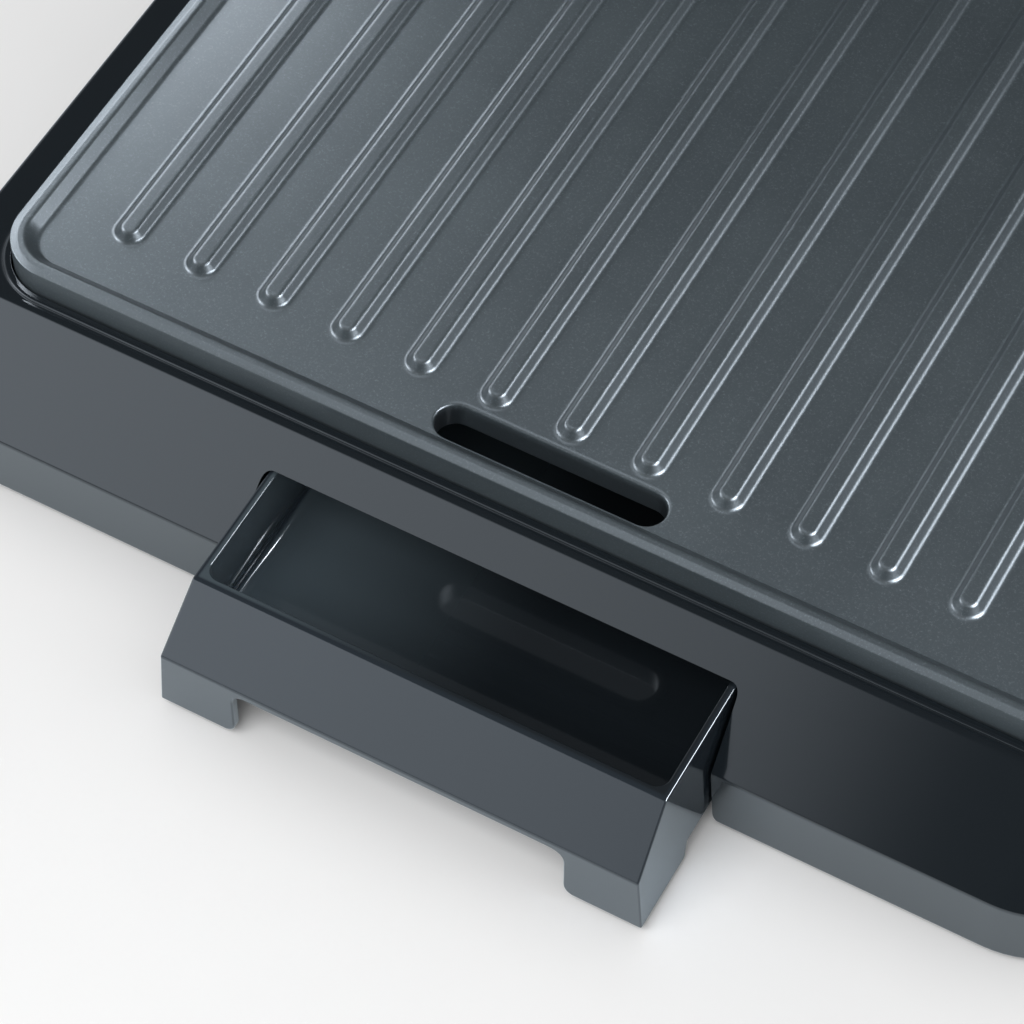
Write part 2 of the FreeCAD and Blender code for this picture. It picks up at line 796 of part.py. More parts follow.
def thermostat():
    """Control thermostat behind the lid's slope; the knob's shaft turns in it."""
    width, depth, height = thermostat_size
    body = Part.makeBox(width, depth, height, Vec(-width / 2, -depth / 2, -thermostat_depth))
    body.rotate(Vec(0, 0, 0), X_AXIS, slope_angle)
    body.translate(slope_middle)
    return body.cut(rod(shaft_radius + shaft_gap, on_slope(0, -10), on_slope(0, 0)))


def knob():
    flange = rod(knob_flange, on_slope(0, knob_lift), on_slope(0, flange_top))
    barrel = Part.makeCone(knob_radius, knob_radius - 1.5, knob_height - flange_top,
                           on_slope(0, flange_top), slope_normal)
    bore = rod(shaft_radius, on_slope(0, 0), on_slope(0, knob_height - 4))
    reach = knob_radius - 2.2
    bar = box(-bar_half_width, bar_half_width, -reach, reach, 0, bar_height)
    bar.rotate(Vec(0, 0, 0), Z_AXIS, knob_rest_angle)
    bar.rotate(Vec(0, 0, 0), X_AXIS, slope_angle)
    bar.translate(on_slope(0, knob_height - 1))
    return flange.fuse([barrel, bar]).cut(bore).removeSplitter()


def knob_shaft():
    return rod(shaft_radius, on_slope(0, -9.5), on_slope(0, knob_height - 4))


def lamp_lens(x):
    stem = rod(lamp_radius, on_slope(x, -5), on_slope(x, 0.4))
    cap = Part.makeSphere(lamp_dome_radius, on_slope(x, lamp_rise - lamp_dome_radius))
    window = rod(lamp_radius, on_slope(x, 0.3), on_slope(x, 4))
    return stem.fuse(cap.common(window)).removeSplitter()


def lamp_bodies():
    places = (-lamp_x, lamp_x)
    return Part.makeCompound([rod(lamp_body_radius, on_slope(x, -15), on_slope(x, -5.2)) for x in places])


def overheat_switch():
    """Round switch clipped under the pan, with two tags for its leads."""
    top = pan_bottom - 0.05
    low = pan_bottom - 5
    can = rod(8.0, Vec(switch_x, switch_y, low), Vec(switch_x, switch_y, top))
    ears = box(switch_x - 12, switch_x + 12, switch_y - 2, switch_y + 2, pan_bottom - 1, top)
    tags = []
    for x in (switch_x - 5.5, switch_x + 5.5):
        tags.append(box(x - 0.5, x + 0.5, switch_y - 3, switch_y + 3, low - 6, low))
    return can.fuse([ears] + tags).removeSplitter()


def thermal_fuse():
    z = pan_bottom - fuse_radius - 0.2
    return rod(fuse_radius, Vec(fuse_x, fuse_y[0], z), Vec(fuse_x, fuse_y[1], z))


def terminal_block():
    margin = 6
    body = box(terminal_x[0] - margin, terminal_x[-1] + margin, *terminal_y, cover_top + 0.05, terminal_top)
    middle = sum(terminal_y) / 2
    holes = []
    for x in terminal_x:
        holes.append(rod(2.4, Vec(x, terminal_y[0] - 1, terminal_z), Vec(x, terminal_y[1] + 1, terminal_z)))
        holes.append(rod(2.0, Vec(x, middle, terminal_z + 1), Vec(x, middle, terminal_top + 1)))
    return body.cut(holes)


def leads(routes, bend):
    return Part.makeCompound([bent_tube([Vec(*p) for p in route], lead_radius, bend) for route in routes])


def lower_leads():
    """Leads from the cord bush to the terminals, and on to the heater, switch and fuse."""
    line, neutral = terminal_x[0], terminal_x[1]
    z = terminal_z
    pin_x, pin_y, pin_foot = heater_x["pins"], heater_y["pins"], pin_end - 0.3
    fuse_z = pan_bottom - fuse_radius - 0.2
    return leads([
        [(gland_x, 275, gland_z), (gland_x, 262, gland_z), (line, 262, z), (line, 249, z)],
        [(line, 238, z), (line, 226, z), (pin_x, 226, -28), (pin_x, pin_y, -28), (pin_x, pin_y, pin_foot)],
        [(neutral, 238, z), (neutral, 224, z), (103, 204, -34), (103, 135, -22), (97.5, 116.5, -22)],
        [(-pin_x, pin_y, pin_foot), (-pin_x, pin_y, -30), (fuse_x, 180, -30), (fuse_x, 130, fuse_z),
         (fuse_x, fuse_y[1] + 0.3, fuse_z)],
    ], 4.0)


def upper_leads():
    """Leads from the lid's back wall to the thermostat, the ready lamp and the upper heater."""
    entry = lid_back - wall - 1.8
    pin_x, pin_y, pin_foot = heater_x["pins"], heater_y["pins"], plates_apart - pin_end + 0.4
    return leads([
        [(80, entry, 23), (80, 210, 25), (12, 180, 33), (12, 40, 33), (8, 24, 33)],
        [(86, entry, 23), (86, 210, 25), (lamp_x, 190, 36), (lamp_x, 40, 36), (lamp_x, 16.5, 27.5)],
        [(74, entry, 23), (74, 216, 24), (pin_x, 206, 33), (pin_x, pin_y, 33), (pin_x, pin_y, pin_foot)],
    ], 3.0)


def cord_gland():
    """Bush for the mains cord in the base's back wall."""
    skin = crease_back

    def ring(radius, start, end):
        return rod(radius, Vec(gland_x, skin + start, gland_z), Vec(gland_x, skin + end, gland_z))

    flange = ring(8.0, 0.05, 3)
    neck = ring(gland_neck, -wall, 0.05)
    inner = ring(6.8, -12, -wall - 0.05)
    nose = Part.makeCone(7.0, 5.8, 5.0, Vec(gland_x, skin + 3, gland_z), Y_AXIS)
    return flange.fuse([neck, inner, nose]).cut(ring(gland_bore, -13, 9)).removeSplitter()


base = {
    "base_housing": base_housing(),
    "base_cover": base_cover(),
    "base_screws": base_screw_set(),
    "lower_plate": cooking_plate(True),
    "lower_plate_screws": plate_screws(),
    "lower_heater": heater(),
    "lower_heater_clamps": heater_clamps(),
    "lower_heat_pan": heat_pan(),
    "overheat_switch": overheat_switch(),
    "thermal_fuse": thermal_fuse(),
    "terminal_block": terminal_block(),
    "lower_leads": lower_leads(),
    "cord_gland": cord_gland(),
    "tower_screws": tower_screw_set(),
}
for side, sign in (("left", -1), ("right", 1)):
    for end, y in foot_places.items():
        base["foot_%s_%s" % (end, side)] = foot(sign * foot_x, y)
base["tray_guide_right"], base["tray_guide_left"] = both_sides(tray_guide())
base["hinge_tower_right"], base["hinge_tower_left"] = both_sides(hinge_tower())

tray = {"drip_tray": drip_tray()}

floating = {"hinge_rod": across(rod_radius, -rod_half_length, rod_half_length, pivot_y, pivot_z)}
floating["slide_block_right"], floating["slide_block_left"] = both_sides(slide_block())

lid = {
    "lid_shell": lid_shell(),
    "lid_frame": lid_frame(),
    "lid_frame_screws": frame_screw_set(),
    "top_panel": top_panel(),
    "upper_plate": turned_over(cooking_plate(False)),
    "upper_plate_screws": turned_over(plate_screws()),
    "upper_heater": turned_over(heater()),
    "upper_heater_clamps": turned_over(heater_clamps()),
    "upper_heat_pan": turned_over(heat_pan()),
    "control_thermostat": thermostat(),
    "power_lamp_lens": lamp_lens(-lamp_x),
    "ready_lamp_lens": lamp_lens(lamp_x),
    "lamp_bodies": lamp_bodies(),
    "upper_leads": upper_leads(),
    "hinge_sleeve": hinge_sleeve(),
    "hinge_arm_screws": arm_screw_set(),
    "handle_grip": handle_grip(),
    "grip_screws": grip_screw_set(),
    "handle_screws": handle_screw_set(),
}
lid["hinge_arm_right"], lid["hinge_arm_left"] = both_sides(hinge_arm())
lid["handle_arm_right"], lid["handle_arm_left"] = both_sides(handle_arm())
lid["grip_cap_right"], lid["grip_cap_left"] = both_sides(grip_cap())

dial = {"knob": knob(), "knob_shaft": knob_shaft()}

for swung in (lid, dial):
    for shape in swung.values():
        shape.rotate(pivot, X_AXIS, -open_angle)

pieces = {**base, **tray, **floating, **lid, **dial}
whole = FreeCAD.BoundBox()
for shape in pieces.values():
    whole.add(shape.optimalBoundingBox(False, False))
origin = Vec(whole.Center.x, whole.Center.y, whole.ZMin)
for name, shape in pieces.items():
    shape.translate(-origin)
    shape.exportStep("parts/%s.step" % name)

turn = FreeCAD.Rotation(X_AXIS, -open_angle)
dial_centre = pivot + turn.multVec(slope_middle - pivot) - origin
dial_axis = turn.multVec(slope_normal)
print("pieces", len(pieces))
print("size", round(whole.XLength, 2), round(whole.YLength, 2), round(whole.ZLength, 2))
print("origin moved to", [round(v, 3) for v in origin])
print("hinge axis at", [round(v, 3) for v in pivot - origin])
print("dial centre", [round(v, 3) for v in dial_centre], "axis", [round(v, 5) for v in dial_axis])
for name, shape in pieces.items():
    if not shape.isValid() or shape.Volume <= 0:
        print("check", name, shape.isValid(), round(shape.Volume, 1))
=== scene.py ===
import bmesh
import bpy
import json
import math
from mathutils import Matrix, Vector
from mathutils.geometry import delaunay_2d_cdt


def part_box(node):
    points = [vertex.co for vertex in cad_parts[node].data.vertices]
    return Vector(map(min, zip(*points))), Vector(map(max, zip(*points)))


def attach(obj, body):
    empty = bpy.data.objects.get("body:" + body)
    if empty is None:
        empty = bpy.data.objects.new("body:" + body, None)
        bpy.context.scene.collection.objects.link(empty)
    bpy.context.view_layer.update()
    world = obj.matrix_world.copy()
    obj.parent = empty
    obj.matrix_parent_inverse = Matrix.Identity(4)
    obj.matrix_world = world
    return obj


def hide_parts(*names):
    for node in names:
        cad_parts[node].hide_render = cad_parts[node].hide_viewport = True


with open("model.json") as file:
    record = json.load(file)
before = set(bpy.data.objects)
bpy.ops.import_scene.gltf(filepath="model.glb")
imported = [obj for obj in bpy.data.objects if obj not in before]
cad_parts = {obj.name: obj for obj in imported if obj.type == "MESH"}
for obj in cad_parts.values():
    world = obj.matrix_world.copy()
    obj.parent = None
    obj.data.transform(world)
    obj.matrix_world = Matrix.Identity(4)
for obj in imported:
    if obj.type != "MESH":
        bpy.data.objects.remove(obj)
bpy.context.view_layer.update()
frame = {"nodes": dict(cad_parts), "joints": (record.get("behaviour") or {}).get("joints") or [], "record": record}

# Everything is drawn in millimetres: z = 0 is the lower plate's floor, y = 0 the fold in front of it.
mm = 0.001
rimHeight = 3.0
plateFold = 6.1                     # from the plate's front edge to the fold
plateLow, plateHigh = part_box("lower_plate")
drawnOrigin = Vector((0, plateLow.y + plateFold * mm, plateHigh.z - rimHeight * mm))
onBase = Matrix.Translation(drawnOrigin) @ Matrix.Scale(mm, 4)

# The lid is drawn closed, then swung open about the hinge.
openAngle = 100.0
hingeAt = Vector(next(j for j in frame["joints"] if j["name"] == "lid_hinge")["pos_m"])
swing = Matrix.Rotation(-math.radians(openAngle), 4, "X")
onLid = Matrix.Translation(hingeAt) @ swing @ Matrix.Translation(-hingeAt) @ onBase


def spanOf(node, drawing=onBase):   # a CAD piece's corners in the drawing's own millimetres
    back = drawing.inverted()
    spots = [back @ v.co for v in frame["nodes"][node].data.vertices]
    low = Vector([min(p[i] for p in spots) for i in range(3)])
    high = Vector([max(p[i] for p in spots) for i in range(3)])
    return low, high


print("frame loaded,", len(frame["nodes"]), "pieces")


# Shader sums: a Link is a socket that can be added to, multiplied and so on.
class Link:
    def __init__(self, tree, socket):
        self.tree = tree
        self.socket = socket

    def sum(self, operation, first, second):
        node = self.tree.nodes.new("ShaderNodeMath")
        node.operation = operation
        for place, value in zip(node.inputs, (first, second)):
            plug(self.tree, place, value)
        return Link(self.tree, node.outputs[0])

    def __add__(self, other):
        return self.sum("ADD", self, other)

    def __radd__(self, other):
        return self.sum("ADD", other, self)

    def __sub__(self, other):
        return self.sum("SUBTRACT", self, other)

    def __rsub__(self, other):
        return self.sum("SUBTRACT", other, self)

    def __mul__(self, other):
        return self.sum("MULTIPLY", self, other)

    def __rmul__(self, other):
        return self.sum("MULTIPLY", other, self)


def plug(tree, place, value):
    if isinstance(value, Link):
        tree.links.new(value.socket, place)
    else:
        place.default_value = value


class Finish:
    def __init__(self, name, tree=None):     # a new material, or the world's own tree
        if tree is None:
            self.material = bpy.data.materials.new(name)
            self.material.use_nodes = True
            tree = self.material.node_tree
        self.tree = tree
        self.tree.nodes.clear()

    def add(self, kind, settings={}, sockets={}, out=0):
        node = self.tree.nodes.new("ShaderNode" + kind)
        for name, value in settings.items():
            setattr(node, name, value)
        for name, value in sockets.items():
            plug(self.tree, node.inputs[name], value)
        if node.outputs:
            return Link(self.tree, node.outputs[out])

    def where(self, stretch=(1, 1, 1)):      # the surface's own place in millimetres
        place = self.add("TexCoord", out="Object")
        return self.add("VectorMath", {"operation": "MULTIPLY"}, {0: place, 1: [s / mm for s in stretch]})

    def axes(self, place):                   # its x, y and z apart
        return [self.add("SeparateXYZ", {}, {0: place}, axis) for axis in "XYZ"]

    def noise(self, size, detail=3.0, rough=0.5, stretch=(1, 1, 1)):     # 0 to 1, in blotches of size millimetres
        return self.add("TexNoise", {}, {"Vector": self.where(stretch), "Scale": 1 / size, "Detail": detail,
                                         "Roughness": rough})

    def cells(self, size):
        return self.add("TexVoronoi", {}, {"Vector": self.where(), "Scale": 1 / size}, "Distance")

    def step(self, value, low, high):        # 0 at low, 1 at high, soft between
        return self.add("MapRange", {"interpolation_type": "SMOOTHSTEP"},
                        {"Value": value, "From Min": low, "From Max": high})

    def tint(self, factor, first, second):
        ends = [(*end, 1) if isinstance(end, tuple) else end for end in (first, second)]
        return self.add("Mix", {"data_type": "RGBA"}, {0: factor, 6: ends[0], 7: ends[1]}, 2)

    def bump(self, height, depth, strength=1.0):      # depth in millimetres
        return self.add("Bump", {}, {"Height": height, "Distance": depth * mm, "Strength": strength})

    def surface(self, **sockets):
        named = {name.replace("_", " "): value for name, value in sockets.items()}
        self.add("OutputMaterial", {}, {"Surface": self.add("BsdfPrincipled", {}, named)})
        return self.material


def grey(red, green, blue):          # a colour given as it looks on screen, 0 to 255
    return tuple(((c / 255 + 0.055) / 1.055) ** 2.4 if c > 10 else c / 255 / 12.92 for c in (red, green, blue))


# Sizes in the finishes are millimetres, and places are the finished object's own. Clouds are broad, grain is fine,
# and gloss is the roughness.
glossLook = {"colour": grey(21, 27, 32), "deep": grey(18, 24, 28), "gloss": 0.09, "smear": 0.05, "wave": 0.012,
             "IOR": 1.5, "coat": 0.9, "coatGloss": 0.04, "cloudSize": 60, "grainSize": 0.9, "dustSize": 2.6,
             "dust": 0.08, "waveSize": 22}
trayLook = {**glossLook, "colour": grey(36, 43, 50), "deep": grey(33, 40, 46)}
basinShadeAndSideCoat = {"left": grey(68, 78, 84), "right": grey(25, 30, 34), "fade": (-60, 10),      # the tray's inside: painted reflection paler at the left, fading to painted shade at the right
             "half": (60.5, 59.7), "front": (-190.2, -189.4),
             "side": 61.1, "top": 35.6, "flare": 0.07, "skin": (0.25, 0.05), "sideCoat": 0.3}      # and its outer sides


def glossPlastic(name, look, basin=None):
    f = Finish(name)
    cloud = f.noise(look["cloudSize"], 2)
    grain = f.noise(look["grainSize"], 4, 0.6)
    dust = f.step(f.cells(look["dustSize"]), 0.05, 0.0)
    colour = f.tint(cloud, look["colour"], look["deep"])
    coat = look["coat"]
    if basin:
        x, y, z = f.axes(f.where())
        wide, narrow = [half ** 2 for half in basin["half"]]
        inside = f.step(x * x, wide, narrow) * f.step(y, *basin["front"])
        # painted light and shade inside the basin: a paler painted reflection at the left, darker painted shade to the
        # right
        paintedBasinShade = f.tint(f.step(x, *basin["fade"]), basin["left"], basin["right"])
        colour = f.tint(inside, colour, paintedBasinShade)
        offMiddle = f.add("Math", {"operation": "ABSOLUTE"}, {0: x}) + z * basin["flare"]
        outer = basin["side"] + basin["top"] * basin["flare"]
        atSide = f.step(offMiddle, *[outer - depth for depth in basin["skin"]])
        coat = coat - coat * (1 - basin["sideCoat"]) * atSide
    roughness = look["gloss"] + look["smear"] * (grain - 0.4) * cloud + look["dust"] * dust
    normal = f.bump(f.noise(look["waveSize"], 1), look["wave"], 0.6)
    return f.surface(Base_Color=colour, Roughness=roughness, IOR=look["IOR"], Coat_Weight=coat,
                     Coat_Roughness=look["coatGloss"], Normal=normal)


coatingLook = {"colour": grey(77, 86, 90), "speck": grey(118, 128, 135), "dark": grey(50, 57, 62), "gloss": 0.32,
               "grain": 0.025, "IOR": 1.5, "metallic": 0.05, "cloudSize": 45, "grainSize": 0.6,
               "cloudShare": 0.6, "grainShare": 0.3, "fleck": (0.52, 0.72), "fleckShare": 0.35,
               "grainGloss": 0.10, "cloudGloss": 0.06,
               "shade": grey(36, 41, 45), "chuteX": (32.0, 31.0), "chuteFront": (-138.6, -138.1),      # painted shade in the drain chute
               "chuteBack": (-127.0, -128.0), "chuteZ": (49.4, 47.5)}


def nonStick(name, look):
    f = Finish(name)
    cloud = f.noise(look["cloudSize"], 3, 0.6)
    grain = f.noise(look["grainSize"], 4, 0.8)
    fleck = f.step(grain, *look["fleck"])
    colour = f.tint(cloud * look["cloudShare"] + grain * look["grainShare"], look["dark"], look["colour"])
    colour = f.tint(fleck * look["fleckShare"], colour, look["speck"])
    x, y, z = f.axes(f.where())
    wide, narrow = [half ** 2 for half in look["chuteX"]]
    chuteShade = f.step(x * x, wide, narrow) * f.step(y, *look["chuteFront"]) * f.step(y, *look["chuteBack"])
    colour = f.tint(chuteShade * f.step(z, *look["chuteZ"]), colour, look["shade"])      # painted shade: it darkens downwards
    roughness = look["gloss"] + look["grainGloss"] * (grain - 0.5) + look["cloudGloss"] * (cloud - 0.5)
    normal = f.bump(grain, look["grain"], 0.5)
    return f.surface(Base_Color=colour, Roughness=roughness, IOR=look["IOR"], Metallic=look["metallic"],
                     Normal=normal)


def dimmed(colour, share):
    return tuple(c * share for c in colour)


plasticLook = {"cloudSize": 30, "dim": 0.8, "grainGloss": 0.12, "cloudGloss": 0.05}


def grainedPlastic(name, colour, gloss=0.45, grainSize=0.5, depth=0.04):
    f = Finish(name)
    look = plasticLook
    grain = f.noise(grainSize, 3, 0.6)
    cloud = f.noise(look["cloudSize"], 2)
    shade = f.tint(cloud, colour, dimmed(colour, look["dim"]))
    roughness = gloss + look["grainGloss"] * (grain - 0.5) + look["cloudGloss"] * (cloud - 0.5)
    return f.surface(Base_Color=shade, Roughness=roughness, Normal=f.bump(grain, depth, 0.7))


metalLook = {"cloudSize": 18, "dim": 0.7, "streakSize": 5, "streak": (0.35, 0.65), "streakDim": 0.78,
             "lineGloss": 0.16, "cloudGloss": 0.08}


def metal(name, colour, gloss, stretch=(1, 1, 1), lineSize=0.5, depth=0.02, stain=0.15, metallic=1.0):
    f = Finish(name)
    look = metalLook
    lines = f.noise(lineSize, 4, 0.6, stretch)
    cloud = f.noise(look["cloudSize"], 3, 0.6)
    shade = f.tint(cloud * stain * 2, colour, dimmed(colour, look["dim"]))
    if min(stretch) < 1:      # brushed: streaks show in the colour too
        streaks = f.noise(lineSize * look["streakSize"], 3, 0.8, stretch)
        shade = f.tint(f.step(streaks, *look["streak"]), shade, dimmed(colour, look["streakDim"]))
    roughness = gloss + look["lineGloss"] * (lines - 0.5) + look["cloudGloss"] * (cloud - 0.5)
    return f.surface(Base_Color=shade, Metallic=metallic, Roughness=roughness, Normal=f.bump(lines, depth, 0.6))


def lensFinish(name, colour, glow):
    f = Finish(name)
    facets = f.cells(1.1)
    cloud = f.noise(3, 2)
    pale = tuple(min(1, c * 1.6) for c in colour)
    shade = f.tint(facets, pale, colour)
    return f.surface(Base_Color=shade, Roughness=0.08 + 0.06 * cloud, Coat_Weight=1.0, Coat_Roughness=0.03,
                     Emission_Color=shade, Emission_Strength=glow, Normal=f.bump(facets, 0.08, 0.5))


def wovenSleeve(name, colour):
    f = Finish(name)
    weave = f.add("TexWave", {"wave_type": "BANDS", "bands_direction": "DIAGONAL"},
                  {"Vector": f.where(), "Scale": 0.5, "Distortion": 0.6, "Detail": 1.0})
    shade = f.tint(weave, dimmed(colour, 0.7), colour)
    return f.surface(Base_Color=shade, Roughness=0.7 + 0.1 * weave, Normal=f.bump(weave, 0.15))


finishes = {
    "housing": glossPlastic("glossHousing", glossLook),
    "tray_gloss": glossPlastic("glossTray", trayLook, basinShadeAndSideCoat),
    "plate_coating": nonStick("nonStickPlate", coatingLook),
    "black_plastic": grainedPlastic("blackPlastic", grey(38, 41, 45)),
    "steel": metal("platedSteel", (0.60, 0.60, 0.61), 0.32),
    "heater_steel": metal("heaterTube", (0.26, 0.24, 0.22), 0.5, stain=0.5),
    "pan_metal": metal("aluminisedSheet", (0.52, 0.52, 0.53), 0.42, lineSize=2.5, stain=0.3),
    "ceramic": grainedPlastic("ceramic", (0.72, 0.69, 0.62), 0.6, 0.3, 0.03),
    "fuse_sleeve": wovenSleeve("glassSleeve", (0.76, 0.73, 0.66)),
    "lead_insulation": wovenSleeve("leadSleeve", (0.66, 0.62, 0.54)),
    "rubber": grainedPlastic("rubber", grey(33, 34, 36), 0.7, 0.35, 0.05),
    "bearing_plastic": grainedPlastic("bearingPlastic", (0.74, 0.74, 0.72), 0.4, 0.8, 0.02),
    "brushed_panel": metal("brushedPanel", (0.50, 0.51, 0.52), 0.32, (0.02, 1, 1), 0.45, stain=0.08, metallic=0.6),
    "lens_red": lensFinish("redLens", (0.42, 0.012, 0.01), 0.25),
    "lens_green": lensFinish("greenLens", (0.015, 0.26, 0.05), 0.12),
    "grip": grainedPlastic("gripPlastic", grey(40, 43, 47), 0.42, 0.4, 0.05),
    "handle_metal": metal("castHandle", (0.42, 0.43, 0.44), 0.38, lineSize=0.8, depth=0.015),
    "knob": grainedPlastic("knobPlastic", grey(52, 57, 62), 0.3, 0.7, 0.01),
}
printFinish = grainedPlastic("dialPrint", (0.62, 0.64, 0.66), 0.5, 0.4, 0.005)
slotOf = {p["node"]: p["material_slot"] for p in frame["record"]["subparts"]}
for name, node in frame["nodes"].items():
    node.data.materials.clear()
    node.data.materials.append(finishes[slotOf[name]])
print("finishes made,", len(finishes))


# Drawing helpers
def softPath(points, reaches, steps=5, along=None):    # points joined, each corner soft over its reach; along picks
    path = [tuple(points[0])]                          # the coordinates that measure it
    for i in range(1, len(points) - 1):
        before, here, after = points[i - 1], points[i], points[i + 1]
        reach = reaches[i]
        if not reach:
            path.append(tuple(here))
            continue
        spans = []
        for other, otherReach in ((before, reaches[i - 1]), (after, reaches[i + 1])):
            gaps = [(o - h) ** 2 for k, (o, h) in enumerate(zip(other, here)) if along is None or k in along]
            room = 0.5 if otherReach else 0.96      # two soft corners share the line between them
            share = min(room, reach / max(1e-6, math.sqrt(sum(gaps))))
            spans.append(tuple(h + (o - h) * share for o, h in zip(other, here)))
        for k in range(steps + 1):
            t = k / steps
            path.append(tuple(a * (1 - t) ** 2 + 2 * h * t * (1 - t) + b * t ** 2
                              for a, h, b in zip(spans[0], here, spans[1])))
    path.append(tuple(points[-1]))
    return path


def roundedOutline(corners, steps=6):     # closed 2D outline; each corner is (u, v, reach)
    outline = []
    for i, (u, v, reach) in enumerate(corners):
        if not reach:
            outline.append((u, v))
            continue
        before, after = corners[i - 1], corners[(i + 1) % len(corners)]
        bend = softPath([before[:2], (u, v), after[:2]], (0, reach, 0), steps)
        outline += bend[1:-1]
    return outline


sizeAndHeight = (0, 4)          # picks from a rounded rectangle's half width, front, back, corner and height
frontAndHeight = (1, 4)


def plateLoop(half, front, back, corner, z, steps=16):    # rounded rectangle seen from above
    loop = []
    centres = ((half - corner, front + corner, -90), (half - corner, back - corner, 0),
               (corner - half, back - corner, 90), (corner - half, front + corner, 180))
    for x, y, start in centres:
        for k in range(steps + 1):
            turn = math.radians(start + 90 * k / steps)
            loop.append(Vector((x + corner * math.cos(turn), y + corner * math.sin(turn), z)))
    return loop


def barLoop(start, end, radius, z, steps=16):            # two half circles joined by straights
    along = (Vector(end) - Vector(start)).normalized()
    loop = []
    for centre, turnBy in ((end, 0), (start, 180)):
        for k in range(steps + 1):
            turn = math.radians(-90 + turnBy + 180 * k / steps)
            side = Vector((along.x * math.cos(turn) - along.y * math.sin(turn),
                           along.x * math.sin(turn) + along.y * math.cos(turn)))
            loop.append(Vector((centre[0] + side.x * radius, centre[1] + side.y * radius, z)))
    return loop


def circleLoop(x, y, radius, z, count=24):
    turns = [math.tau * k / count for k in range(count)]
    return [Vector((x + radius * math.cos(turn), y + radius * math.sin(turn), z)) for turn in turns]


def skin(bm, loops, ring=False, capStart=False, capEnd=False):      # faces from each loop to the next
    rows = [[bm.verts.new(p) for p in loop] for loop in loops]
    pairs = list(zip(rows, rows[1:]))
    if ring:
        pairs.append((rows[-1], rows[0]))
    for low, high in pairs:
        for k in range(len(low)):
            bm.faces.new((low[k - 1], low[k], high[k], high[k - 1]))
    if capStart:
        bm.faces.new(rows[0])
    if capEnd:
        bm.faces.new(rows[-1])
    return rows


def fillAround(bm, outer, holes):      # flat faces between an outer loop and the holes in it
    verts = list(outer)
    owner = [-1] * len(outer)
    edges = [(k, (k + 1) % len(outer)) for k in range(len(outer))]
    for h, hole in enumerate(holes):
        first = len(verts)
        verts += hole
        owner += [h] * len(hole)
        edges += [(first + k, first + (k + 1) % len(hole)) for k in range(len(hole))]
    result = delaunay_2d_cdt([v.co.xy for v in verts], edges, [], 0, 1e-6)
    for face in result[2]:
        ids = [result[3][k][0] for k in face]
        owners = {owner[k] for k in ids}
        if len(owners) == 1 and -1 not in owners:
            continue
        bm.faces.new([verts[k] for k in ids])


def facingOut(bm):
    bmesh.ops.recalc_face_normals(bm, faces=bm.faces)
    return bm


def block(loops):          # loops joined, with both ends filled
    bm = bmesh.new()
    skin(bm, loops, capStart=True, capEnd=True)
    return facingOut(bm)


def ringOf(loops):         # loops joined, the last one to the first
    bm = bmesh.new()
    skin(bm, loops, ring=True)
    return facingOut(bm)


def prism(outline, start, end, across="x"):      # outline in YZ (across x), XZ (across y) or XY (across z)
    turned = {"x": lambda u, v, w: (w, u, v), "y": lambda u, v, w: (u, w, v), "z": lambda u, v, w: (u, v, w)}[across]
    return block([[Vector(turned(u, v, w)) for u, v in outline] for w in (start, end)])


def turnedLoops(profile, count):       # profile of (radius, height) about Z
    return [circleLoop(0, 0, radius, height, count) for radius, height in profile]


core = 1.0            # a turned piece is filled flat inside this radius


def lathe(profile, count=48):
    return block(turnedLoops(profile, count))


def asObject(bm, name="work"):
    mesh = bpy.data.meshes.new(name)
    bm.to_mesh(mesh)
    bm.free()
    thing = bpy.data.objects.new(name, mesh)
    bpy.context.scene.collection.objects.link(thing)
    return thing


def settle(thing):                     # keeps what the modifiers made
    bpy.context.view_layer.update()
    graph = bpy.context.evaluated_depsgraph_get()
    mesh = bpy.data.meshes.new_from_object(thing.evaluated_get(graph))
    thing.modifiers.clear()
    thing.data = mesh
    return thing


def join(thing, tool, operation):
    step = thing.modifiers.new("join", "BOOLEAN")
    step.operation = operation
    step.solver = "EXACT"
    step.object = tool
    settle(thing)
    bpy.data.objects.remove(tool)
    return thing


def carve(thing, *tools):
    for tool in tools:
        join(thing, tool if isinstance(tool, bpy.types.Object) else asObject(tool), "DIFFERENCE")
    return thing


def soften(thing, rule, segments=3, sharpness=28, flat=0.05):      # rule: one reach, or a reach by an edge's middle
    bm = bmesh.new()
    bm.from_mesh(thing.data)
    bmesh.ops.dissolve_limit(bm, angle_limit=math.radians(flat), verts=bm.verts, edges=bm.edges)
    reaches = {}
    for edge in bm.edges:
        if len(edge.link_faces) == 2 and edge.calc_face_angle(0) > math.radians(sharpness):
            reach = rule((edge.verts[0].co + edge.verts[1].co) / 2) if callable(rule) else rule
            if reach:
                reaches[edge.index] = reach
    most = max(reaches.values(), default=1)
    layer = bm.edges.layers.float.get("bevel_weight_edge") or bm.edges.layers.float.new("bevel_weight_edge")
    for edge in bm.edges:
        edge[layer] = reaches.get(edge.index, 0) / most
    bm.to_mesh(thing.data)
    bm.free()
    bevel = thing.modifiers.new("soften", "BEVEL")
    bevel.limit_method = "WEIGHT"
    bevel.width = most
    bevel.segments = segments
    bevel.use_clamp_overlap = True
    settle(thing)
    return thing


def smooth(thing):
    thing.data.shade_smooth()
    level = thing.modifiers.new("even", "WEIGHTED_NORMAL")
    level.mode = "FACE_AREA_WITH_ANGLE"
    level.weight = 50
    level.keep_sharp = False
    return settle(thing)


def trim(thing, name, body, finish, drawing):       # a finished piece takes its place on the object
    smooth(thing)
    thing.name = name
    thing.data.transform(drawing)
    thing.data.materials.clear()
    thing.data.materials.append(finish)
    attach(thing, body)


def fit(thing, name, body, stands, drawing=onBase):       # and stands for the plain ones
    slot = slotOf[stands[0]]
    trim(thing, name, body, finishes[slot], drawing)
    thing.data.name = name
    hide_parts(*stands)


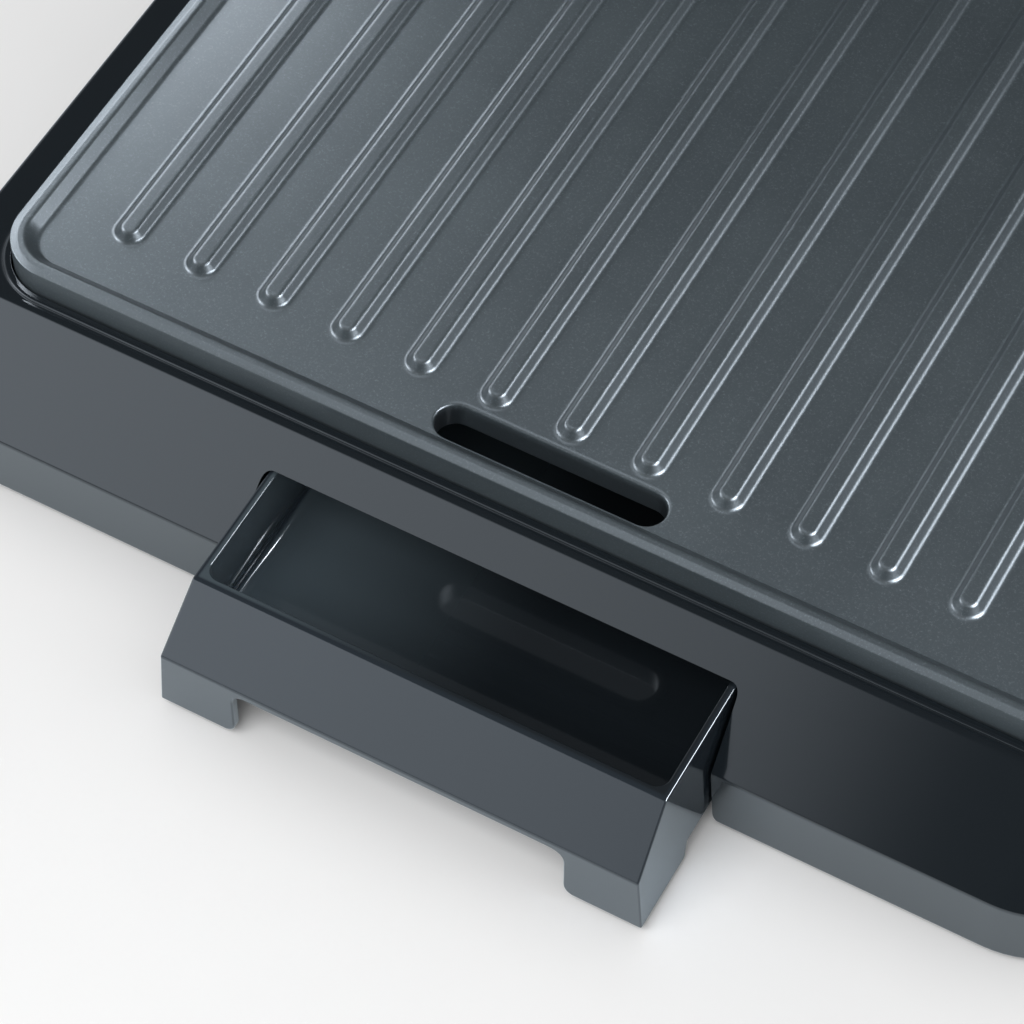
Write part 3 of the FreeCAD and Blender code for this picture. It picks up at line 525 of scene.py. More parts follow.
# Cooking plates
plateSize = {"corner": 14.0, "leastCorner": 2.5, "wall": 3.5, "wallBelow": 8.0, "floor": 4.0, "rimFlat": 3.6,
             "rimSlope": 2.8, "bevel": 1.9, "bevelDrop": 0.45, "edge": 0.25, "innerEdge": 0.7, "fold": 0.9,
             "wallEdges": (0.4, 0.5), "sideFold": 2.4, "frontFold": 0.12}
ribSize = {"count": 13, "pitch": 20.0, "foot": 7.7, "crest": 4.1, "height": 2.6, "front": 13.5, "footSoft": 0.9,
           "crestSoft": 0.8, "spread": 1.1}
slotSize = {"halfLength": 29.8, "width": 10.0, "y": 5.9, "edge": 0.8, "shift": 0.45, "wall": 2.0, "bottom": -7.6,
            "chuteEdge": 0.3}
bossSize = {"x": 115.0, "y": (22.0, 195.0), "radius": 4.5, "hole": 1.8, "end": -13.0, "holeTop": -5.5,
            "edges": (0, 0.3, 0.2, 0)}


def plateAt(inset, z, side=0.0, front=0.0):
    p = plateSize
    low, high = plateLowMm, plateHighMm
    grown = inset + side
    corner = max(p["leastCorner"], p["corner"] - inset)
    return (high.x - grown, low.y + inset + front, high.y - grown, corner, z)


def cookingPlate(withSlot):
    p, r, s, b = plateSize, ribSize, slotSize, bossSize
    bm = bmesh.new()
    fold = p["rimFlat"] + p["rimSlope"]
    stations = [plateAt(p["wall"], -p["floor"]), plateAt(p["wall"], -p["wallBelow"]), plateAt(0, -p["wallBelow"]),
                plateAt(0, rimHeight - p["bevelDrop"]), plateAt(p["bevel"], rimHeight),
                plateAt(p["rimFlat"], rimHeight), plateAt(fold, 0),
                plateAt(fold, 0, p["sideFold"], p["frontFold"])]
    reaches = (0, *p["wallEdges"], p["edge"], p["edge"], p["innerEdge"], p["fold"], 0)
    path = softPath(stations, reaches, along=sizeAndHeight)
    path[-1] = stations[-1]
    rows = skin(bm, [plateLoop(*station) for station in path])
    topHoles, underHoles = [], []
    foot, crest = r["foot"] / 2, r["crest"] / 2
    ribBack = plateHighMm.y - plateFold - r["front"]
    shape = [(foot + r["spread"], 0), (foot, 0), (crest, r["height"]), (crest - r["spread"], r["height"])]
    side = softPath(shape, (0, r["footSoft"], r["crestSoft"], 0))
    for i in range(r["count"]):
        x = (i - (r["count"] - 1) / 2) * r["pitch"]
        loops = [barLoop((x, r["front"] + foot), (x, ribBack - foot), radius, z) for radius, z in side]
        topHoles.append(skin(bm, loops, capEnd=True)[0])
    if withSlot:
        half = s["width"] / 2
        reach = s["halfLength"] - half
        shape = [(s["edge"], 0, s["shift"]), (0, 0, 0), (0, s["bottom"], 0), (s["wall"], s["bottom"], 0),
                 (s["wall"], -p["floor"], 0)]
        loops = [barLoop((-reach, s["y"] + shift), (reach, s["y"] + shift), half + grow, z)
                 for grow, z, shift in softPath(shape, (0, s["edge"], s["chuteEdge"], s["chuteEdge"], 0), 4)]
        rim = skin(bm, loops)
        topHoles.append(rim[0])
        underHoles.append(rim[-1])
    shape = [(b["radius"], -p["floor"]), (b["radius"], b["end"]), (b["hole"], b["end"]), (b["hole"], b["holeTop"])]
    side = softPath(shape, b["edges"], 2)
    for x in (-b["x"], b["x"]):
        for y in b["y"]:
            loops = [circleLoop(x, y, radius, z) for radius, z in side]
            underHoles.append(skin(bm, loops, capEnd=True)[0])
    fillAround(bm, rows[-1], topHoles)
    fillAround(bm, rows[0], underHoles)
    return asObject(facingOut(bm))


plateLowMm, plateHighMm = spanOf("lower_plate")
fit(cookingPlate(True), "lowerCookingPlate", "base", ["lower_plate"])
platesApart = 6.6
turnedOver = onLid @ Matrix.Translation((0, 0, platesApart)) @ Matrix.Scale(-1, 4, (0, 0, 1))
upper = cookingPlate(False)
upper.data.flip_normals()
fit(upper, "upperCookingPlate", "lid", ["upper_plate"], turnedOver)
print("cooking plates made")


# Base shell: deck and crease are rounded rectangles of (half width, front, back, corner, height)
baseSize = {"deck": (157.6, -10.3, 281.0, 17.8, -5.5), "crease": (160.0, -33.8, 294.0, 28.0, -28.7),
            "bottom": -47.8, "wall": 2.4, "lipGap": 0.4, "lipWidth": 2.0, "lipTop": -4.5, "lipSoft": 0.9,
            "lipInside": 0.35, "lipFoot": 0.25, "deckSoft": 1.1, "deckFlat": 1.3, "creaseSoft": 0.7,
            "bottomSoft": (0.6, 0.4), "cutSoft": 0.45, "cutCorners": (2.6, 3.0)}
traySize = {"top": -14.4, "bottom": -42.9, "foot": -47.6, "footLength": 21.3, "half": 61.1, "flare": 0.07,
            "wall": 2.0, "band": 2.5, "back": 105.0, "pull": 33.0, "clearance": 1.0, "fingerHalf": 43.3,
            "fingerTop": -30.9, "fingerCorners": (4.2, 3.4), "basinSoft": 3.2, "edge": 0.45, "creaseSoft": 0.55}
spare = 8.0           # how far a cutting shape stands out past its cut at the bottom
glandAt = {"x": -120.0, "z": -37.5, "hole": 6.0}
onRearWall = Matrix.Translation((glandAt["x"], 0, glandAt["z"])) @ Matrix.Rotation(-math.pi / 2, 4, "X")


def around(grow, z):
    low, high = plateLowMm, plateHighMm
    return (high.x + grow, low.y - grow, high.y + grow, plateSize["corner"] + grow, z)


def shifted(ring, inset, z):
    return (ring[0] - inset, ring[1] + inset, ring[2] - inset, ring[3] - inset, z)


def trayHalf(z):
    return traySize["half"] + (traySize["top"] - z) * traySize["flare"]


def bridge(narrow, top, wide, low, drop, deep, corners):      # a gap's outline, spreading out below its bottom edge
    upper, lower = corners
    half = [(narrow, top, upper), (wide, low, lower), (wide + spare, low - drop, 0), (wide + spare, low - deep, 0)]
    return roundedOutline([(-u, v, soft) for u, v, soft in half[:1]] + half
                          + [(-u, v, soft) for u, v, soft in half[:0:-1]])


def insideDeck():        # the wall keeps its thickness under each slope from the deck down to the crease
    b = baseSize
    deck, crease = b["deck"], b["crease"]
    drop = deck[4] - crease[4]
    ring = []
    for spot, edge, inward in zip(deck[:3], crease[:3], (-1, 1, -1)):
        slope = abs(edge - spot) / drop
        ring.append(spot + inward * b["wall"] * (math.hypot(1, slope) - slope))
    return (*ring, deck[3] - b["wall"], deck[4] - b["wall"])


def baseShell():
    b, t = baseSize, traySize
    deck, crease = b["deck"], b["crease"]
    lip = b["lipGap"] + b["lipWidth"]
    inner = insideDeck()
    stations = [around(b["lipGap"], inner[4]), around(b["lipGap"], b["lipTop"]), around(lip, b["lipTop"]),
                around(lip + 0.1, deck[4]), shifted(deck, b["deckFlat"], deck[4]), deck, crease,
                shifted(crease, 0, b["bottom"]), shifted(crease, b["wall"], b["bottom"]),
                shifted(crease, b["wall"], crease[4] - 1), inner]
    reaches = (0, b["lipInside"], b["lipSoft"], b["lipFoot"], 0, b["deckSoft"], b["creaseSoft"], *b["bottomSoft"],
               0, 0)
    path = softPath(stations, reaches, along=frontAndHeight)
    shell = asObject(ringOf([plateLoop(*station) for station in path]))
    top, low = t["top"] + t["clearance"], b["bottom"]
    narrow, wide = trayHalf(top) + t["clearance"], trayHalf(low) + t["clearance"]
    opening = prism(bridge(narrow, top, wide, low, 0.5, 4, b["cutCorners"]), crease[1] - 10, 4, "y")
    hole = lathe([(glandAt["hole"], crease[2] - 10), (glandAt["hole"], crease[2] + 10)])
    hole.transform(onRearWall)
    carve(shell, opening, hole)

    def atOpening(spot):
        if spot.y < 3 and (0.01 < abs(spot.x) < wide + 4 or abs(spot.z - top) < 0.5):
            return b["cutSoft"]
        return 0

    return soften(shell, atOpening, sharpness=38)


fit(baseShell(), "baseShell", "base", ["base_housing"])
print("base shell made")


def trayBlock(inset, high, low, start, end):         # the tray's flaring sides
    wide, narrow = trayHalf(low) - inset, trayHalf(high) - inset
    return asObject(prism([(-narrow, high), (narrow, high), (wide, low), (-wide, low)], start, end, "y"))


def dripTray():
    b, t = baseSize, traySize
    deck, crease = b["deck"], b["crease"]
    slope = (deck[1] - crease[1]) / (deck[4] - crease[4])
    front = crease[1]
    frontTop = front + (t["top"] - crease[4]) * slope
    heel = front + t["footLength"]
    wall = t["wall"]
    across = (-70, 70)          # wider than the tray, whose flaring sides are cut next
    body = asObject(prism([(frontTop, t["top"]), (front, crease[4]), (front, t["foot"]), (heel, t["foot"]),
                           (heel + 1.5, t["bottom"]), (t["back"] - 2, t["bottom"]), (t["back"], t["top"])], *across))
    join(body, trayBlock(0, t["top"], t["foot"], front - 1, t["back"] + 1), "INTERSECT")
    basin = asObject(prism([(frontTop + wall, t["top"] + 3), (frontTop + wall + 1, t["bottom"] + wall),
                            (t["back"] - 4, t["bottom"] + wall), (t["back"] - 2, t["top"] + 3)], *across))
    join(basin, trayBlock(wall, t["top"] + 3, t["bottom"], front, t["back"] + 5), "INTERSECT")
    soften(basin, lambda spot: 0 if spot.z > t["top"] + 2.9 else t["basinSoft"], segments=6)
    slant = wall * 1.42         # the wall under the 45 degree front, measured upright
    band = front + t["band"]
    hollowTop = t["top"] - slant
    hollow = asObject(prism([(frontTop, hollowTop), (band, crease[4] + t["band"] - slant), (band, t["foot"] - 2),
                             (heel + 3, t["foot"] - 2), (heel + 3, t["bottom"]), (frontTop + 1, t["bottom"])], *across))
    join(hollow, trayBlock(wall, t["top"], t["foot"] - 3, front, t["back"]), "INTERSECT")
    side = t["fingerHalf"]
    fingerGap = bridge(side, t["fingerTop"], side, t["foot"], 0.4, 3, t["fingerCorners"])
    carve(body, basin, hollow, prism(fingerGap, front - 1, band + 0.5, "y"))

    def trayEdge(spot):
        if abs(spot.z - crease[4]) < 0.2 and spot.y < front + 0.2:
            return t["creaseSoft"]
        return t["edge"]

    soften(body, trayEdge, sharpness=38)
    body.data.transform(Matrix.Translation((0, -t["pull"], 0)))
    return body


fit(dripTray(), "trayMoulding", "drip_tray", ["drip_tray"])
print("drip tray made")


# Lid
lidSize = {"half": 152.0, "front": -13.0, "back": 231.0, "corner": 20.0, "bottom": 5.5, "shoulder": 24.0,
           "top": 50.0, "topHalf": 132.0, "topFront": 21.0, "topBack": 211.0, "topCorner": 12.0,
           "shoulderSoft": 4.0, "topSoft": 4.0, "inside": (1.5, 2.0), "rimSoft": (0.5, 0.7), "edging": 8.0}
panelSize = {"inset": 5.0, "thickness": 1.2, "edge": 0.4, "cornerLess": 2.0, "edging": 4.0}


def lidShell():
    s = lidSize
    wall = baseSize["wall"]
    low = (s["half"], s["front"], s["back"], s["corner"], s["bottom"])
    shoulder = (*low[:4], s["shoulder"])
    top = (s["topHalf"], s["topFront"], s["topBack"], s["topCorner"], s["top"])
    stations = [shifted(top, s["edging"], s["top"] - wall), shifted(top, 1, s["top"] - wall),
                shifted(low, wall, s["shoulder"] - 0.6), shifted(low, wall, s["bottom"]), low, shoulder, top,
                shifted(top, s["edging"], s["top"])]
    reaches = (0, *s["inside"], *s["rimSoft"], s["shoulderSoft"], s["topSoft"], 0)
    path = softPath(stations, reaches, 6, frontAndHeight)
    return asObject(block([plateLoop(*station) for station in path]))


def topPanel():
    s, p = lidSize, panelSize
    low = (s["topHalf"] - p["inset"], s["topFront"] + p["inset"], s["topBack"] - p["inset"],
           s["topCorner"] - p["cornerLess"], s["top"])
    high = shifted(low, 0, s["top"] + p["thickness"])
    path = softPath([low, high, shifted(high, p["edging"], high[4])], (0, p["edge"], 0), 4, frontAndHeight)
    return asObject(block([plateLoop(*station) for station in path]))


fit(lidShell(), "lidMoulding", "lid", ["lid_shell"], onLid)
fit(topPanel(), "brushedTopPanel", "lid", ["top_panel"], onLid)
print("lid made")


# Handle: two cast arms, a grip and its caps
handleSize = {"y": -62.0, "z": 28.0, "inner": 112.0, "outer": 126.0, "hub": 13.5, "root": (8.5, 22.8), "edge": 1.2,
              "gripHalf": 111.8, "gripDeep": 13.0, "gripHigh": 10.5, "grooveFrom": 9.0, "grooveDeep": 0.06,
              "groove": (0.6, 1.2, 2.2, 2.8), "capRadius": 9.0, "capRise": 1.6, "plug": 4.9, "plugDeep": 1.8}
touch = 0.05          # a piece starts this far off the wall that carries it


def arcPoints(centre, radius, start, end, steps=16):
    turns = [math.radians(start + (end - start) * k / steps) for k in range(steps + 1)]
    return [(centre[0] + radius * math.cos(turn), centre[1] + radius * math.sin(turn)) for turn in turns]


def handleArm():
    h = handleSize
    wallAt = lidSize["front"] - touch
    outline = [(wallAt, z) for z in h["root"]] + arcPoints((h["y"], h["z"]), h["hub"], 78, 282)
    return soften(asObject(prism(outline, h["inner"], h["outer"])), h["edge"], 4, sharpness=40)


def handleGrip(count=48):
    h = handleSize
    groove = -h["gripHalf"] + h["grooveFrom"]
    narrow = 1 - h["grooveDeep"]
    shape = [(-h["gripHalf"], 1), (groove, 1)]
    shape += [(groove + along, scale) for along, scale in zip(h["groove"], (1, narrow, narrow, 1))] + [(0, 1)]
    shape += [(-x, scale) for x, scale in reversed(shape[:-1])]
    loops = []
    for x, scale in shape:
        deep, high = h["gripDeep"] * scale, h["gripHigh"] * scale
        turns = [math.tau * k / count for k in range(count)]
        loops.append([Vector((x, h["y"] + deep * math.cos(turn), h["z"] + high * math.sin(turn))) for turn in turns])
    return asObject(block(loops))


def gripCap():
    h = handleSize
    radius, rise, plugged = h["capRadius"], h["capRise"], h["plug"]
    profile = softPath([(core, -h["plugDeep"]), (plugged, -h["plugDeep"]), (plugged, 0), (radius, 0), (radius, rise),
                        (core, rise)], (0, 0.2, 0, 0.1, 0.8, 0))
    cap = lathe(profile)
    cap.transform(Matrix.Translation((h["outer"], h["y"], h["z"])) @ Matrix.Rotation(math.pi / 2, 4, "Y"))
    return asObject(cap)


def mirrored(thing):
    twin = thing.copy()
    twin.data = thing.data.copy()
    bpy.context.scene.collection.objects.link(twin)
    twin.data.transform(Matrix.Scale(-1, 4, (1, 0, 0)))
    twin.data.flip_normals()
    return twin


def fitPair(thing, name, body, node, drawing=onBase):
    twin = mirrored(thing)
    fit(thing, name + "Right", body, [node + "_right"], drawing)
    fit(twin, name + "Left", body, [node + "_left"], drawing)


fitPair(handleArm(), "handleArm", "lid", "handle_arm", onLid)
fitPair(gripCap(), "gripCap", "lid", "grip_cap", onLid)
fit(handleGrip(), "handleBar", "lid", ["handle_grip"], onLid)
print("handle made")


# Hinge: arms on the lid, slotted towers on the base
hingeSize = {"armInner": 96.0, "armOuter": 116.0, "armHub": 11.0, "armRoot": (7.0, 23.5), "towerInner": 118.0,
             "towerOuter": 142.0, "towerHalf": 13.0, "towerSpread": 4.0, "towerFoot": 16.0, "footSoft": 6.0,
             "rod": 4.05, "float": 14.0, "edge": 0.8, "slotHalf": 5.1, "slotHigh": 7.3, "slotEnd": 132.6}
pivotMm = onBase.inverted() @ hingeAt


def hingeArm():
    h = hingeSize
    wallAt = lidSize["back"] + touch
    outline = [(wallAt, z) for z in h["armRoot"]] + arcPoints((pivotMm.y, pivotMm.z), h["armHub"], 100, -100)
    arm = asObject(prism(outline, h["armInner"], h["armOuter"]))
    bore = lathe([(h["rod"], h["armInner"] - 1), (h["rod"], h["armOuter"] + 1)])
    bore.transform(Matrix.Translation((0, pivotMm.y, pivotMm.z)) @ Matrix.Rotation(math.pi / 2, 4, "Y"))
    return soften(carve(arm, bore), h["edge"], sharpness=40)


def hingeTower():
    h = hingeSize
    y, z, half = pivotMm.y, pivotMm.z, h["towerHalf"]
    crown = z + h["float"] - 1
    low = baseSize["deck"][4] + touch
    foot, soft = half + h["towerSpread"], (0, h["footSoft"], 0)
    outline = softPath([(y - foot, low), (y - half, low + h["towerFoot"]), (y - half, crown)], soft)[:-1]
    outline += arcPoints((y, crown), half, 180, 0)
    outline += softPath([(y + half, crown), (y + half, low + h["towerFoot"]), (y + foot, low)], soft)[1:]
    tower = asObject(prism(outline, h["towerInner"], h["towerOuter"]))
    near, far, bottom, top = y - h["slotHalf"], y + h["slotHalf"], z - h["slotHigh"], z + h["slotHigh"] + h["float"]
    slotOutline = [(near, bottom), (far, bottom), (far, top), (near, top)]
    carve(tower, prism(slotOutline, h["towerInner"] - 1, h["slotEnd"]))
    return soften(tower, lambda spot: 0 if spot.z < low + 0.1 else h["edge"], sharpness=40)


fitPair(hingeArm(), "hingeArm", "lid", "hinge_arm", onLid)
fitPair(hingeTower(), "hingeTower", "base", "hinge_tower")
print("hinge made")


# Controls on the lid's sloping front; the slope's own frame has Z off the surface and Y up the slope
knobSize = {"radius": 15.0, "taper": 1.5, "shaft": 3.2, "flange": 16.5, "flangeFrom": 0.8, "flangeTo": 3.2,
            "height": 14.0, "flutes": 30, "fluteDepth": 0.35, "restAngle": 135.0, "travel": 270.0, "barHalf": 3.0,
            "barTop": 17.0, "barReach": 12.8, "barCorner": 1.5, "barEdge": 0.7}
pointerSize = {"half": 0.6, "from": 3.5, "to": 11.8, "corner": 0.3, "sunk": 0.2, "rise": 0.08}
dialSize = {"numbers": 6, "radius": 19.4, "letter": 3.9, "shift": 0.6, "tickFrom": 17.2, "tickTo": 18.0,
            "tickHalf": (0.35, 0.22), "thickness": 0.06}
lampSize = {"x": 36.0, "radius": 4.0, "rim": 0.5, "rise": 1.6, "bezel": 5.4, "bezelGap": 0.1, "bezelRise": (0.7, 0.5),
            "sunk": 1.0, "bezelSunk": 0.4}
slopeRun = lidSize["topFront"] - lidSize["front"]
slopeRise = lidSize["top"] - lidSize["shoulder"]
slopeMiddle = Vector((0, (lidSize["topFront"] + lidSize["front"]) / 2, (lidSize["top"] + lidSize["shoulder"]) / 2))
onSlope = onLid @ Matrix.Translation(slopeMiddle) @ Matrix.Rotation(math.atan2(slopeRise, slopeRun), 4, "X")


def strip(half, start, end, corner=0):
    return roundedOutline([(-half, start, corner), (half, start, corner), (half, end, corner), (-half, end, corner)])


def dialAngle(share):           # from the start of the knob's travel, 0, to its end, 1
    return math.radians(knobSize["restAngle"] - knobSize["travel"] * share)


def dialTurn(share):
    return Matrix.Rotation(dialAngle(share), 4, "Z")


def knobBody():
    k = knobSize
    perFlute = 8
    profile = softPath([(k["shaft"], k["flangeFrom"]), (k["flange"], k["flangeFrom"]), (k["flange"], k["flangeTo"]),
                        (k["radius"], k["flangeTo"]), (k["radius"] - k["taper"], k["height"]), (core, k["height"])],
                       (0, 0.3, 0.6, 0.3, 1.0, 0), 4)
    loops = turnedLoops(profile, k["flutes"] * perFlute)
    for (radius, z), loop in zip(profile, loops):
        if k["flangeTo"] + 0.4 < z < k["height"] - 0.8:
            for i, p in enumerate(loop):
                squeeze = 1 - k["fluteDepth"] / radius * (0.5 - 0.5 * math.cos(math.tau * i / perFlute))
                p.x *= squeeze
                p.y *= squeeze
    knob = asObject(block(loops))
    bar = prism(strip(k["barHalf"], -k["barReach"], k["barReach"], k["barCorner"]), k["height"] - 1.0, k["barTop"], "z")
    bar = soften(asObject(bar), k["barEdge"], sharpness=50)
    bar.data.transform(dialTurn(0))
    return join(knob, bar, "UNION")


def pointerLine():
    p, top = pointerSize, knobSize["barTop"]
    line = prism(strip(p["half"], p["from"], p["to"], p["corner"]), top - p["sunk"], top + p["rise"], "z")
    line.transform(dialTurn(0))
    return asObject(line)


def dialMarks():
    d = dialSize
    marks = bmesh.new()
    last = (d["numbers"] - 1) * 2
    for i in range(last + 1):
        tick = prism(strip(d["tickHalf"][i % 2], d["tickFrom"], d["tickTo"]), 0, d["thickness"], "z")
        tick.transform(dialTurn(i / last))
        part = bpy.data.meshes.new("tick")
        tick.to_mesh(part)
        tick.free()
        marks.from_mesh(part)
    return asObject(marks)


def dialNumber(value):
    d = dialSize
    turn = dialAngle(value / (d["numbers"] - 1))
    text = bpy.data.curves.new("number", "FONT")
    text.body = str(value)
    text.align_x = "CENTER"
    text.align_y = "CENTER"
    text.size = d["letter"]
    text.extrude = d["thickness"] / 2
    sign = bpy.data.objects.new("number", text)
    bpy.context.scene.collection.objects.link(sign)
    settled = bpy.data.meshes.new_from_object(sign.evaluated_get(bpy.context.evaluated_depsgraph_get()))
    bpy.data.objects.remove(sign)
    number = bpy.data.objects.new("number", settled)
    bpy.context.scene.collection.objects.link(number)
    place = (-math.sin(turn) * (d["radius"] + d["shift"]), math.cos(turn) * d["radius"], d["thickness"] / 2)
    number.data.transform(Matrix.Translation(place))
    return number


def lampLens():
    s = lampSize
    dome = softPath([(core, -s["sunk"]), (s["radius"], -s["sunk"]), (s["radius"], s["rim"]),
                     (s["radius"] * 0.72, s["rise"] - 0.2), (0.6, s["rise"])], (0, 0, 0.5, 1.2, 0))
    return asObject(lathe(dome, 32))


def lampRing():
    s = lampSize
    inner, outer, low = s["radius"] + s["bezelGap"], s["bezel"], -s["bezelSunk"]
    highs = s["bezelRise"]
    profile = softPath([(inner, low), (inner, highs[0]), (outer, highs[1]), (outer, low)], (0, 0.3, 0.4, 0), 3)
    return asObject(ringOf(turnedLoops(profile, 40)))


fit(knobBody(), "temperatureKnob", "temperature_knob", ["knob"], onSlope)
trim(pointerLine(), "knobPointer", "temperature_knob", printFinish, onSlope)
trim(dialMarks(), "dialTicks", "lid", printFinish, onSlope)
for value in range(dialSize["numbers"]):
    trim(dialNumber(value), "dialNumber%d" % value, "lid", printFinish, onSlope)
for x, lamp, side in ((-lampSize["x"], "power", "Left"), (lampSize["x"], "ready", "Right")):
    place = onSlope @ Matrix.Translation((x, 0, 0))
    fit(lampLens(), lamp + "lampDome", "lid", [lamp + "_lamp_lens"], place)
    trim(lampRing(), "lampRing" + side, "lid", finishes["handle_metal"], place)
print("controls made")


# Rubber feet and the cord's bush
footSize = {"radius": 10.0, "chamfer": 1.2, "dishTop": 5.3, "dishRim": 5.9, "dish": 0.7, "stem": 3.9}
glandSize = {"bore": 3.75, "inner": 6.8, "neck": 5.9, "neckFrom": (2.45, 2.4), "flange": 8.0, "flangeDepth": 3.0,
             "nose": 5.8, "noseStep": (1.0, 0.3), "noseLength": 8.0, "inside": 12.0}


def rubberFoot(node):
    low, high = spanOf(node)
    s = footSize
    base, top = low.z, spanOf("base_cover")[0].z
    profile = softPath([(s["dishTop"], base + s["dish"]), (s["dishRim"], base), (s["radius"] - s["chamfer"], base),
                        (s["radius"], base + s["chamfer"]), (s["radius"], top), (s["stem"], top), (s["stem"], high.z)],
                       (0, 0.2, 0.5, 0.5, 0.4, 0.2, 0), 4)
    pad = lathe(profile)
    pad.transform(Matrix.Translation(((low.x + high.x) / 2, (low.y + high.y) / 2, 0)))
    return asObject(pad)


def cordBush():
    s = glandSize
    step, rise = s["noseStep"]
    profile = [(s["bore"], -s["inside"]), (s["inner"], -s["inside"]), (s["inner"], -s["neckFrom"][0]),
               (s["neck"], -s["neckFrom"][1]), (s["neck"], touch), (s["flange"], touch),
               (s["flange"], s["flangeDepth"]), (s["nose"] + step, s["flangeDepth"] + rise),
               (s["nose"], s["noseLength"]), (s["bore"], s["noseLength"])]
    path = softPath(profile, (0, 0.5, 0, 0, 0, 0.2, 0.9, 0.6, 0.7, 0), 4)
    bush = ringOf(turnedLoops(path, 48))
    bush.transform(onRearWall @ Matrix.Translation((0, 0, baseSize["crease"][2])))
    return asObject(bush)


for end in ("front", "rear"):
    for side in ("left", "right"):
        node = "foot_%s_%s" % (end, side)
        fit(rubberFoot(node), node.title().replace("_", "") + "Pad", "base", [node])
fit(cordBush(), "cordBush", "base", ["cord_gland"])
print("feet and bush made")


# Floor, light and camera
stageLook = {"radius": 1.3, "fade": (0.30, 0.80), "floor": 0.93, "speck": 0.985, "speckScale": 60.0,
             "mirrored": (0.82, 0.92, 0.99)}
worldLook = {"ambient": 0.60, "dark": 0.09, "front": 0.72, "frontLeft": 3.2, "sides": 0.6, "below": 0.75,
             "tint": (0.89, 0.98, 1.08), "frontEdge": (-0.14, -0.215), "leftFrom": -0.20, "frontDepth": (-0.1, -0.5),
             "rise": (0.02, 0.30), "frontTop": (0.62, 0.82), "sideEdge": (0.25, 0.65), "horizon": (-0.06, 0.0)}
lampSet = {   # the mirrored lamps are bright walls: they show as soft streaks on the lower plate, one on the tray too
    "front": {"at": (-0.07, -0.68, 0.86), "aim": (-0.02, -0.08, 0.05), "size": (0.7, 0.5), "power": 5.2,
              "spread": 180, "mirrored": False},
    "left": {"at": (-0.36, -0.02, 0.22), "aim": (-0.22, -0.12, 0.05), "size": (0.40, 0.10), "power": 0.28,
             "spread": 64, "mirrored": True, "on": ["lowerCookingPlate"]},
    "leftHigh": {"at": (-0.44, -0.20, 0.36), "aim": (0.0, -0.12, 0.05), "size": (0.26, 0.16), "power": 3.0,
                 "spread": 180, "mirrored": True, "on": ["lowerCookingPlate"]},
    "right": {"at": (0.36, -0.10, 0.27), "aim": (0.16, -0.12, 0.05), "size": (0.50, 0.24), "power": 3.6,
              "spread": 68, "mirrored": True, "on": ["lowerCookingPlate", "trayMoulding"]},
    "above": {"at": (-0.21, 0.0, 0.72), "aim": (0.0, -0.12, 0.05), "size": (0.32, 0.52), "power": 1.6,
              "spread": 180, "mirrored": True, "on": ["lowerCookingPlate"]},
}
cameraLook = {"azimuth": 28.9003, "elevation": 55.2512, "distance": 0.8857, "lens": 137.445, "sensor": 36.0,
              "target": (-1.204, -9.845, 0.0)}      # target in the drawing's millimetres
white = (1.0, 1.0, 1.0)


def stageFloor():
    s = stageLook
    bm = bmesh.new()
    skin(bm, [circleLoop(0, 0, radius, 0, 96) for radius in (s["radius"], 0.05)], capEnd=True)
    floor = asObject(facingOut(bm), "stageFloor")
    if floor.data.polygons[0].normal.z < 0:
        floor.data.flip_normals()
    f = Finish("paleFloor")
    place = f.add("TexCoord", out="Object")
    away = f.add("VectorMath", {"operation": "LENGTH"}, {0: place}, "Value")
    speck = f.add("TexNoise", {}, {"Vector": place, "Scale": s["speckScale"]})
    shade = f.tint(speck, (s["floor"],) * 3, (s["floor"] * s["speck"],) * 3)
    mirrored = f.add("LightPath", out="Is Glossy Ray")
    shade = f.tint(mirrored, shade, s["mirrored"])
    plain = f.add("BsdfDiffuse", {}, {"Color": shade})
    gone = f.add("BsdfTransparent")
    mixed = f.add("MixShader", {}, {0: f.step(away, *s["fade"]), 1: plain, 2: gone})
    f.add("OutputMaterial", {}, {"Surface": mixed})
    floor.data.materials.append(f.material)


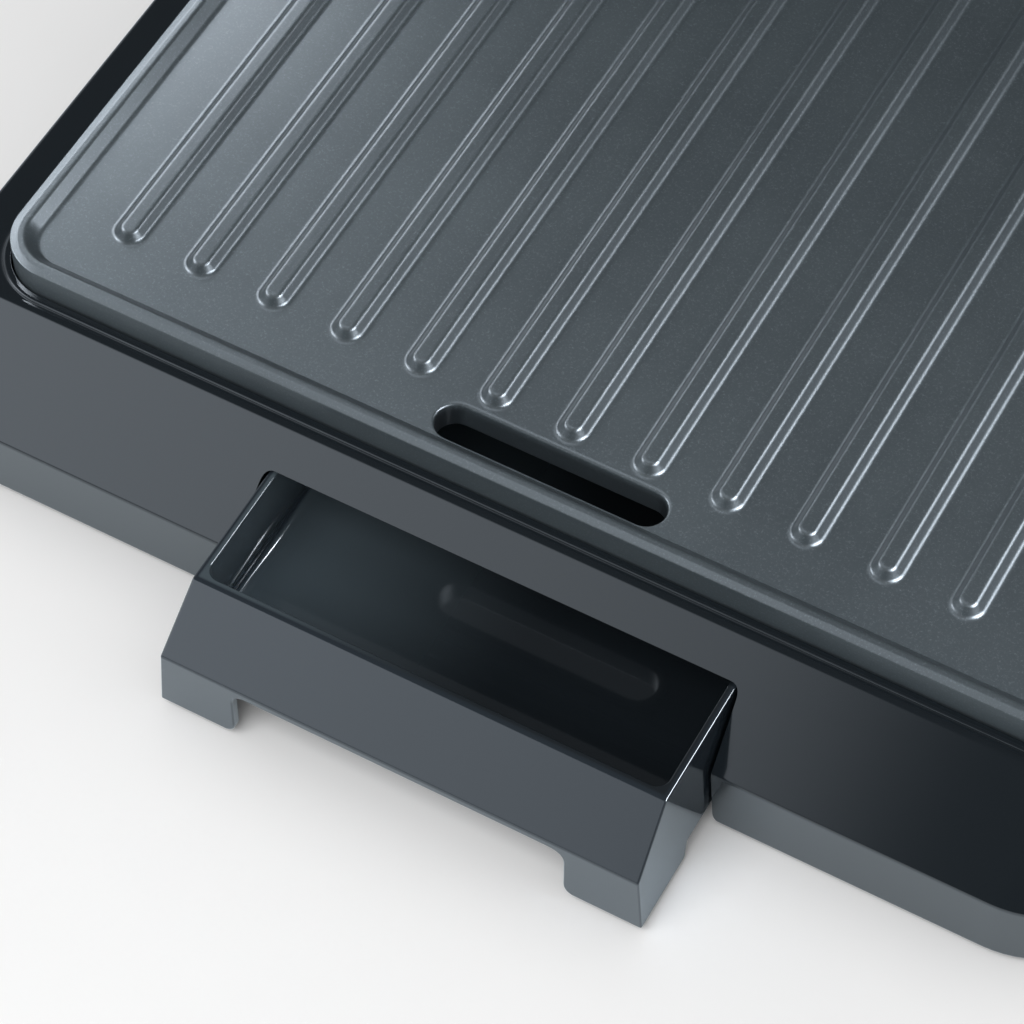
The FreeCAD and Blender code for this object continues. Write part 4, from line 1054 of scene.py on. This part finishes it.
def studioWorld():      # even light for the colours; the gloss mirrors dark surroundings, paler to the left in front
    world = bpy.data.worlds.new("studio")
    bpy.context.scene.world = world
    world.use_nodes = True
    w = Finish("studio", world.node_tree)
    look = worldLook
    side, depth, height = w.axes(w.add("TexCoord", out="Generated"))
    leftward = w.add("Math", {"operation": "MAXIMUM"}, {0: look["leftFrom"] - side, 1: 0.0})
    front = look["front"] * w.step(side, *look["frontEdge"]) + look["frontLeft"] * leftward
    risen = w.step(height, *look["rise"])
    front = front * w.step(depth, *look["frontDepth"]) * risen * (1 - w.step(height, *look["frontTop"]))
    sides = look["sides"] * w.step(side * side, *look["sideEdge"]) * risen
    below = look["below"] * (1 - w.step(height, *look["horizon"]))
    shown = look["dark"] + front + sides + below
    seen, glossy = [w.add("LightPath", out=kind) for kind in ("Is Camera Ray", "Is Glossy Ray")]
    strength = look["ambient"] * (1 - glossy) + shown * glossy
    strength = strength * (1 - seen) + seen      # white behind the object
    colour = w.tint(glossy * (1 - seen), white, look["tint"])
    light = w.add("Background", {}, {"Color": colour, "Strength": strength})
    w.add("OutputWorld", {}, {"Surface": light})


def studioLamp(name, look):
    lamp = bpy.data.lights.new(name, "AREA")
    lamp.shape = "RECTANGLE"
    lamp.size, lamp.size_y = look["size"]
    lamp.energy = look["power"]
    lamp.color = worldLook["tint"] if look["mirrored"] else white
    lamp.spread = math.radians(look["spread"])
    holder = bpy.data.objects.new(name, lamp)
    bpy.context.scene.collection.objects.link(holder)
    holder.location = look["at"]
    holder.rotation_euler = (Vector(look["at"]) - Vector(look["aim"])).to_track_quat("Z", "Y").to_euler()
    holder.visible_camera = False
    holder.visible_diffuse = not look["mirrored"]
    holder.visible_glossy = look["mirrored"]
    if look["mirrored"]:
        lit = bpy.data.collections.new(name)
        for piece in look["on"]:
            lit.objects.link(bpy.data.objects[piece])
        holder.light_linking.receiver_collection = lit


def photoCamera():
    look = cameraLook
    turn, rise = math.radians(look["azimuth"]), math.radians(look["elevation"])
    back = Vector((math.sin(turn) * math.cos(rise), -math.cos(turn) * math.cos(rise), math.sin(rise)))
    lens = bpy.data.cameras.new("camera")
    lens.lens = look["lens"]
    lens.sensor_width = look["sensor"]
    lens.clip_start = 0.01
    holder = bpy.data.objects.new("camera", lens)
    bpy.context.scene.collection.objects.link(holder)
    holder.location = onBase @ Vector(look["target"]) + back * look["distance"]
    holder.rotation_euler = back.to_track_quat("Z", "Y").to_euler()
    bpy.context.scene.camera = holder


stageFloor()
studioWorld()
for name, look in lampSet.items():
    studioLamp(name, look)
photoCamera()
bpy.context.scene.view_settings.view_transform = "Standard"
print("stage, light and camera set")
